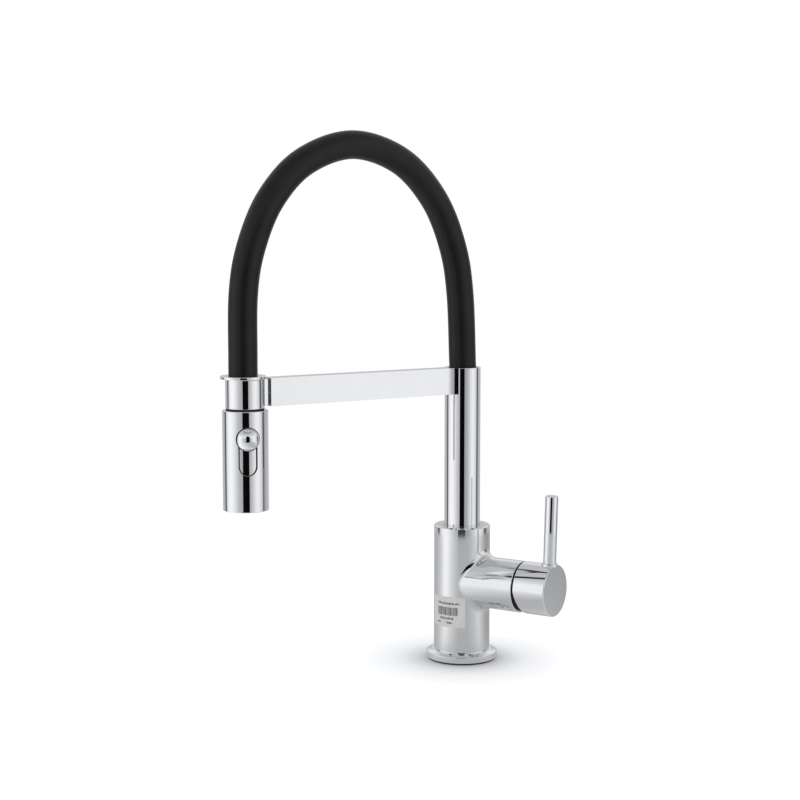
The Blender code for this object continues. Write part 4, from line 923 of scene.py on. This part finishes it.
# ---------------------------------------------------------------- hose end, head and diverter
def neck():
    bore, radius, low, high = END_CAP
    seat = low + 0.9
    cap_profile = [
        (bore, low, 0.1),
        (radius, low, 0.45),
        (radius, high, 0.6),
        (SHEATH_RADIUS + 0.15, high, 0.2),
        (SHEATH_RADIUS + 0.15, seat, 0.1),
        (bore, seat, 0.1),
    ]
    cap_place = HEAD @ Matrix.Translation((0, -SHEATH_OFFSET, 0))
    cap = turned("sheath_collar", cap_profile, CHROME, cap_place)
    settle(cap, "hose_end", "chrome", "sheath_end_cap")
    bottom = NECK_BOTTOM + 1.0
    floor_level = NECK_BOTTOM + 3.6
    neck_profile = [
        (NECK_BORE, bottom, 0.1),
        (NECK_RADIUS, bottom, 0.35),
        (NECK_RADIUS, NECK_TOP, 0.25),
        (NECK_SOCKET, NECK_TOP, 0.2),
        (NECK_SOCKET, floor_level, 0.2),
        (NECK_BORE, floor_level, 0.1),
    ]
    bobbin = turned("neck_bobbin", neck_profile, CHROME, HEAD)
    settle(bobbin, "hose_end", "chrome", "docking_neck")
    seal_profile = ring(NECK_BORE, NECK_RADIUS - 0.25, NECK_BOTTOM, NECK_BOTTOM + 0.95, 0.15)
    settle(turned("neck_seal_ring", seal_profile, RUBBER, HEAD), "hose_end", "seal_rubber")


def head():
    skin = Skin()
    low, high = SLOT_PATCH
    first, last = SLOT_SIDES
    outer_wall(skin, HEAD_RADIUS, (HEAD_BOTTOM + 2, low))
    outer_wall(skin, HEAD_RADIUS, even(low, high, 14), (SLOT_SIDES,))
    box = ((first - ROUND) * ONE_SIDE, (last - ROUND) * ONE_SIDE, low, high, DIVERTER_SIDE, SLOT_MIDDLE)
    wall = HEAD_RADIUS - HEAD_BORE
    slot_in_wall(skin, HEAD_RADIUS, box, SLOT_HALF, SLOT_REACH, SLOT_EDGE, wall, (24, 14))
    outer_wall(skin, HEAD_RADIUS, (high, HEAD_TOP - 2))
    top = [
        (HEAD_RADIUS, HEAD_TOP - 2),
        (HEAD_RADIUS, HEAD_TOP, 0.6),
        (NECK_BORE, HEAD_TOP, 0.2),
        (NECK_BORE, HEAD_TOP - 3),
    ]
    bottom = [
        (HEAD_BORE, HEAD_BOTTOM + 8),
        (HEAD_BORE, HEAD_BOTTOM, 0.25),
        (HEAD_RADIUS, HEAD_BOTTOM, 0.6),
        (HEAD_RADIUS, HEAD_BOTTOM + 2),
    ]
    for profile in (top, bottom):
        skin.revolve(profile)
    shell = skin.finish("spray_head_shell", CHROME, DIVERTER)
    settle(shell, "spray_head", "chrome", "head_shell")


def slot_painted_shade():
    """Painted shade just inside the slot, a dark strip for the shadowed gap at its edge: a narrow face that
    looks outwards, and the side behind it.
    """
    gap, width, depth = SLOT_SHADE_STRIP
    outer, inner = SLOT_HALF - gap, SLOT_HALF - width
    bands = (((outer, SLOT_EDGE), (inner, SLOT_EDGE), 0), ((inner, SLOT_EDGE), (inner, depth), QUARTER))
    shade_strip = Skin()
    for *rims, lean in bands:
        rings = []
        for half, sunk in rims:
            rings.append(slot_ring(HEAD_RADIUS, DIVERTER_SIDE, SLOT_MIDDLE, half, SLOT_REACH, sunk, lean))
        shade_strip.grid([[ring_at(angle) for angle in full_turn(160)] for ring_at in rings])
    # Black rubber here paints the shade of the gap at the slot's edge.
    settle(shade_strip.finish("slot_painted_shade", RUBBER, DIVERTER), "spray_head", "seal_rubber")


def knob():
    """The domed knob, which fits the round head below it, and the thin black ring at its foot, painted shade
    for the gap between knob and head.
    """
    place = DIVERTER @ Matrix.Translation((0, 0, KNOB_HEIGHT)) @ Matrix.Rotation(QUARTER, 4, "X")
    turns = full_turn(96)
    seat = HEAD_RADIUS + 0.14
    dome = []
    for radius in even(0, KNOB_DOME - KNOB_EDGE, 12):
        depth = math.sqrt(KNOB_CURVE**2 - radius**2)
        dome.append((radius, KNOB_CENTRE + depth, (radius / KNOB_CURVE, depth / KNOB_CURVE)))
    dome_radius, dome_depth, dome_normal = dome[-1]
    start_lean = math.atan2(*dome_normal)
    rounding = (KNOB_DOME - dome_radius) / (1 - math.sin(start_lean))
    edge_depth = dome_depth - rounding * math.cos(start_lean)
    edge = []
    for lean in even(start_lean, QUARTER, 3):
        cos, sin = math.cos(lean), math.sin(lean)
        edge.append((KNOB_DOME - rounding + rounding * sin, edge_depth + rounding * cos, (sin, cos)))

    def over_head(radius, turn):
        return math.sqrt(seat**2 - (radius * math.cos(turn)) ** 2)

    def over_shade_ring(radius, turn):
        return over_head(radius, turn) + SHADE_RING_THICK

    def seated(radius, turn):
        return min(over_head(radius, turn), edge_depth)

    skin = Skin()
    skin.grid(turned_rows(dome, turns))
    skin.grid(turned_rows(edge, turns))
    skin.wall(KNOB_DOME, turns, (edge_depth, seated))
    skin.lid((KNOB_DOME, 7.6, 7.0, KNOB_STEM), turns, seated, -1)
    skin.wall(KNOB_STEM, turns, (seated, KNOB_STEM_END))
    skin.lid((KNOB_STEM, 0), turns, KNOB_STEM_END, -1)
    settle(skin.finish("domed_knob", CHROME, place), "diverter", "chrome", "diverter_knob")
    # A thin black ring of painted shade, where the gap under the knob's rim is in shadow.
    shade_ring = Skin()
    radii = (KNOB_DOME - 0.3, KNOB_RADIUS)
    for radius, sign in zip(radii, (-1, 1)):
        shade_ring.wall(radius, turns, (over_head, over_shade_ring), sign)
    shade_ring.lid(radii, turns, over_head, -1)
    shade_ring.lid(radii, turns, over_shade_ring, 1)
    settle(shade_ring.finish("knob_painted_shade_ring", RUBBER, place), "diverter", "seal_rubber")


def shutter():
    radius, thick, low, high = SHUTTER
    half = math.asin((SLOT_HALF + SHUTTER_MARGIN) / radius)
    skin = Skin()
    turns = even(DIVERTER_SIDE - half, DIVERTER_SIDE + half, 24)
    skin.bent_plate((radius - thick, radius), turns, (low, high))
    settle(skin.finish("slot_shutter", CHROME, DIVERTER), "diverter", "chrome", "diverter_shutter")


def spray_face():
    low = FACE_BOTTOM
    plate = turned("nozzle_plate", ring(7.3, HEAD_BORE - 0.4, low, low + 3.6, 0.3), GREY, HEAD)
    settle(plate, "spray_head", "grey_plastic", "spray_face")
    tip_profile = [(0.5, low + 0.4), (0.5, low - 0.5, 0.1), (1.15, low - 0.5, 0.15), (1.5, low + 0.2)]
    nozzles = Skin()
    for turn in full_turn(NOZZLE_COUNT)[:-1]:
        nozzles.revolve(tip_profile, sides=20, centre=round_point(NOZZLE_CIRCLE, turn, 0))
    settle(nozzles.finish("spray_nozzles", RUBBER, HEAD), "spray_head", "seal_rubber")


def aerator():
    low = FACE_BOTTOM + 0.4
    high = FACE_BOTTOM + 8.9
    shelf = FACE_BOTTOM + 1.2
    profile = [
        (5.2, low, 0.15),
        (7.0, low, 0.3),
        (7.0, high, 0.2),
        (6.0, high, 0.2),
        (6.0, shelf, 0.1),
        (5.2, shelf, 0.1),
    ]
    housing = turned("aerator_ring", profile, GREY, HEAD, sides=72)
    settle(housing, "spray_head", "grey_plastic", "aerator_housing")
    radius, pitch, half, thick, rise = SCREEN
    level = FACE_BOTTOM + rise
    wires = Skin()
    for index in range(-5, 6):
        offset = index * pitch
        length = math.sqrt(radius**2 - offset**2)
        start, end, near, far = -length, length, offset - half, offset + half
        wires.box((start, near, level), (end, far, level + thick))
        wires.box((near, start, level), (far, end, level + thick))
    settle(wires.finish("aerator_mesh", STEEL, HEAD), "spray_head", "steel", "aerator_screen")


def cad_pieces():
    """The pieces inside keep their CAD shape and get the materials of their slots."""
    slots = {entry["node"]: entry["material_slot"] for entry in frame["record"]["subparts"]}
    for name, obj in frame["nodes"].items():
        obj.data.materials.clear()
        obj.data.materials.append(SLOT_MATERIALS[slots[name]])


# ---------------------------------------------------------------- studio
CAMERA_PLACE = Vector((633.85, -1090.06, 333.0))
CAMERA_TURN = math.radians(32.4)
CAMERA_TILT = math.radians(-5.8)
CAMERA_LENS = 72.9
FRONT = math.atan2(CAMERA_PLACE.y, CAMERA_PLACE.x)  # the azimuth of the side that the photo shows
# Brightness of the walls by the angle from the front, to the left below zero and to the right above it.
SIDE_LIGHT = (
    (-180, 0.58), (-150, 0.55), (-137, 0.57), (-119, 0.48), (-114, 0.06), (-108, 0.06), (-104, 0.50),
    (-97, 0.85), (-88, 1.04), (-74, 1.12), (-60, 1.05), (-45, 0.86), (-30, 0.62), (0, 0.40), (16, 0.40),
    (22, 0.42), (35, 0.55), (49, 0.78), (62, 0.98), (74, 1.02), (92, 0.80), (101, 0.60), (105, 0.08),
    (112, 0.08), (117, 0.38), (131, 0.55), (180, 0.58),
)
# Brightness by elevation, and how far it takes over from the walls.
TOP_LIGHT = ((-90, 0.8), (14, 1.1), (26, 0.92), (36, 0.74), (46, 0.60), (90, 0.62))
TOP_SHARE = ((-90, 0.0), (10, 0.0), (28, 1.0))
# Dark edges of the lamps above: half width around the front, lowest and highest elevation.
DARK_FRAMES = ((100, 62, 68), (24, 74, 80))
DARK_FRAME_COLOUR = (0.05, 0.05, 0.055, 1)
# What the faucet mirrors of the floor, by the angle from the front: painted light in the mirrored floor's
# glow.
FLOOR_LIGHT = (
    (-180, 0.50), (-121, 0.53), (-94, 0.68), (-83, 0.82), (-72, 0.94), (-60, 0.90), (-44, 0.74),
    (-27, 0.62), (-11, 0.52), (22, 0.52), (38, 0.58), (56, 0.68), (68, 0.76), (86, 0.62), (98, 0.51),
    (118, 0.42), (180, 0.48),
)
# How far the mirrored floor departs from its middle grey, by the distance from the axis; near the faucet it
# stays close to the grey, a painted shadow of the faucet.
FLOOR_GREY = 0.5
FLOOR_CONTRAST = ((30.0, 0.1), (60.0, 0.6), (90.0, 0.95), (150.0, 1.15), (300.0, 1.4), (560.0, 1.5))
# Brightness of the floor seen straight, by the distance from the axis: the faucet's soft shadow, painted into
# the floor's glow, then plain white.
FLOOR_SEEN = (
    (26.0, 0.46), (29.0, 0.55), (33.0, 0.64), (38.0, 0.72), (45.0, 0.82), (52.0, 0.89), (60.0, 0.94),
    (70.0, 0.98), (80.0, 1.02), (100.0, 1.06),
)
FLOOR_RADIUS = 560.0
FLOOR_DIFFUSE = 0.2  # the brightness that the floor gets from the light itself
FLOOR_LEVEL = -0.2
MIRRORED_LEVEL = -0.4
CARD_DISTANCE = 770.0
CARD_TURN = math.radians(-1.8)
CARD_WIDTH = 410.0
CARD_BOTTOM = -150.0
CARD_TOP = 600.0


def camera():
    data = bpy.data.cameras.new("camera")
    data.lens = CAMERA_LENS
    data.sensor_width = 36.0
    obj = bpy.data.objects.new("camera", data)
    bpy.context.scene.collection.objects.link(obj)
    obj.location = CAMERA_PLACE * MM
    obj.rotation_euler = (QUARTER + CAMERA_TILT, 0, CAMERA_TURN)
    bpy.context.scene.camera = obj


def ramp(tree, source, low, high, stops):
    """Brightness by stops of (place, brightness), where the source goes from 0 at low to 1 at high."""
    node = tree.nodes.new("ShaderNodeValToRGB")
    tree.links.new(source, node.inputs["Fac"])
    elements = node.color_ramp.elements
    elements.remove(elements[-1])
    for index, (place, value) in enumerate(stops):
        position = (place - low) / (high - low)
        element = elements[0] if index == 0 else elements.new(position)
        element.position = position
        element.color = (value, value, value, 1)
    return node.outputs["Color"]


def from_front(tree, coordinates):
    """The outputs X, Y and Z of the coordinates, turned so that +X is the front."""
    place = tree.nodes.new("ShaderNodeTexCoord")
    turn = tree.nodes.new("ShaderNodeVectorRotate")
    turn.rotation_type = "Z_AXIS"
    turn.inputs["Angle"].default_value = -FRONT
    split = tree.nodes.new("ShaderNodeSeparateXYZ")
    tree.links.new(place.outputs[coordinates], turn.inputs["Vector"])
    tree.links.new(turn.outputs["Vector"], split.inputs["Vector"])
    return split.outputs


def sky():
    """A studio as its reflections show it: soft white walls with dark gaps and a dark side."""
    world = bpy.data.worlds.new("studio")
    bpy.context.scene.world = world
    world.use_nodes = True
    tree = world.node_tree
    way = from_front(tree, "Generated")
    around = maths(tree, "ARCTAN2", way["Y"], way["X"])
    level = maths(tree, "ARCSINE", way["Z"])
    height = maths(tree, "MULTIPLY_ADD", level, 1 / math.pi, 0.5)
    side = ramp(tree, maths(tree, "MULTIPLY_ADD", around, 1 / TAU, 0.5), -180, 180, SIDE_LIGHT)
    above = ramp(tree, height, -90, 90, TOP_LIGHT)
    light = mixed(tree, ramp(tree, height, -90, 90, TOP_SHARE), side, above)
    for width, low, high in DARK_FRAMES:
        inside = maths(tree, "LESS_THAN", maths(tree, "ABSOLUTE", around), math.radians(width))
        inside = maths(tree, "MULTIPLY", inside, maths(tree, "GREATER_THAN", level, math.radians(low)))
        inside = maths(tree, "MULTIPLY", inside, maths(tree, "LESS_THAN", level, math.radians(high)))
        light = mixed(tree, inside, light, DARK_FRAME_COLOUR)
    rays = tree.nodes.new("ShaderNodeLightPath")
    seen = mixed(tree, rays.outputs["Is Camera Ray"], light, (1.0, 1.0, 1.0, 1))
    tree.links.new(seen, tree.nodes["Background"].inputs["Color"])


def flat_stage(name, corners, material, place):
    obj = mesh_object(name, corners, [list(range(len(corners)))], material)
    obj.location = Vector(place) * MM
    return obj


def only_mirrored(obj):
    obj.visible_camera = False
    obj.visible_diffuse = False
    obj.visible_shadow = False
    obj.visible_transmission = False


def distance_share(tree, reach):
    """The distance from the object's origin as a share of the reach."""
    place = tree.nodes.new("ShaderNodeTexCoord")
    length = tree.nodes.new("ShaderNodeVectorMath")
    length.operation = "LENGTH"
    tree.links.new(place.outputs["Object"], length.inputs[0])
    return maths(tree, "DIVIDE", length.outputs["Value"], reach * MM)


def seen_floor():
    """The white floor that the camera sees, with the faucet's soft shadow painted into its glow."""
    light, dark = (0.29, 0.30, 0.33), (0.28, 0.29, 0.32)
    white = surface("floor_white", light, dark, (0.6, 0.7), 0.0, (3, 30), specular=0.0)
    tree = white.node_tree
    inputs = tree.nodes["Principled BSDF"].inputs
    reach = FLOOR_SEEN[-1][0] * 1.25
    # The glow paints the shadow: darker near the faucet, plain white farther out.
    stops = [(distance, value - FLOOR_DIFFUSE) for distance, value in FLOOR_SEEN]
    tree.links.new(ramp(tree, distance_share(tree, reach), 0, reach, stops), inputs["Emission Color"])
    inputs["Emission Strength"].default_value = 1.0
    return white


def mirrored_floor():
    """The floor as the chrome mirrors it: a sheet that glows with painted light, lighter and darker by
    direction, and greyer near the faucet, where it paints the faucet's shadow.
    """
    mirrored, tree, inputs = new_material("floor_mirrored")
    inputs["Base Color"].default_value = (0, 0, 0, 1)
    inputs["Specular IOR Level"].default_value = 0.0
    inputs["Emission Strength"].default_value = 1.0
    way = from_front(tree, "Object")
    around = maths(tree, "ARCTAN2", way["Y"], way["X"])
    light = ramp(tree, maths(tree, "MULTIPLY_ADD", around, 1 / TAU, 0.5), -180, 180, FLOOR_LIGHT)
    # The contrast falls near the faucet: a painted shadow in the mirrored floor.
    contrast = ramp(tree, distance_share(tree, FLOOR_RADIUS), 0, FLOOR_RADIUS, FLOOR_CONTRAST)
    above_grey = maths(tree, "SUBTRACT", light, FLOOR_GREY)
    tree.links.new(maths(tree, "MULTIPLY_ADD", above_grey, contrast, FLOOR_GREY), inputs["Emission Color"])
    return mirrored


def floor():
    """Two sheets: one that only the camera and soft light see, and one that only mirrors see."""
    corners = [round_point(FLOOR_RADIUS, turn, 0) for turn in full_turn(96)[:-1]]
    flat_stage("floor", corners, seen_floor(), (0, 0, FLOOR_LEVEL)).visible_glossy = False
    only_mirrored(flat_stage("floor_in_mirrors", corners, mirrored_floor(), (0, 0, MIRRORED_LEVEL)))


def dark_card():
    """The dark opening the photo's chrome mirrors, in front of the faucet. Only mirrors see it."""
    shade = (0.004, 0.004, 0.004)
    black = surface("dark_card", shade, (0.006, 0.006, 0.006), (0.9, 1.0), 0.0, (3, 30), specular=0.0)
    facing = FRONT + CARD_TURN
    half = CARD_WIDTH / 2
    corners = [(0, -half, CARD_BOTTOM), (0, half, CARD_BOTTOM), (0, half, CARD_TOP), (0, -half, CARD_TOP)]
    card = flat_stage("dark_card", corners, black, round_point(CARD_DISTANCE, facing, 0))
    card.rotation_euler = (0, 0, facing)
    only_mirrored(card)


camera()
sky()
floor()
dark_card()
cad_pieces()
base()
body_and_branch()
label()
lever_hub()
lever_rod()
column()
docking_arm()
dock_lug()
hoses()
neck()
head()
slot_painted_shade()
knob()
shutter()
spray_face()
aerator()
bpy.context.scene.view_settings.view_transform = "Standard"
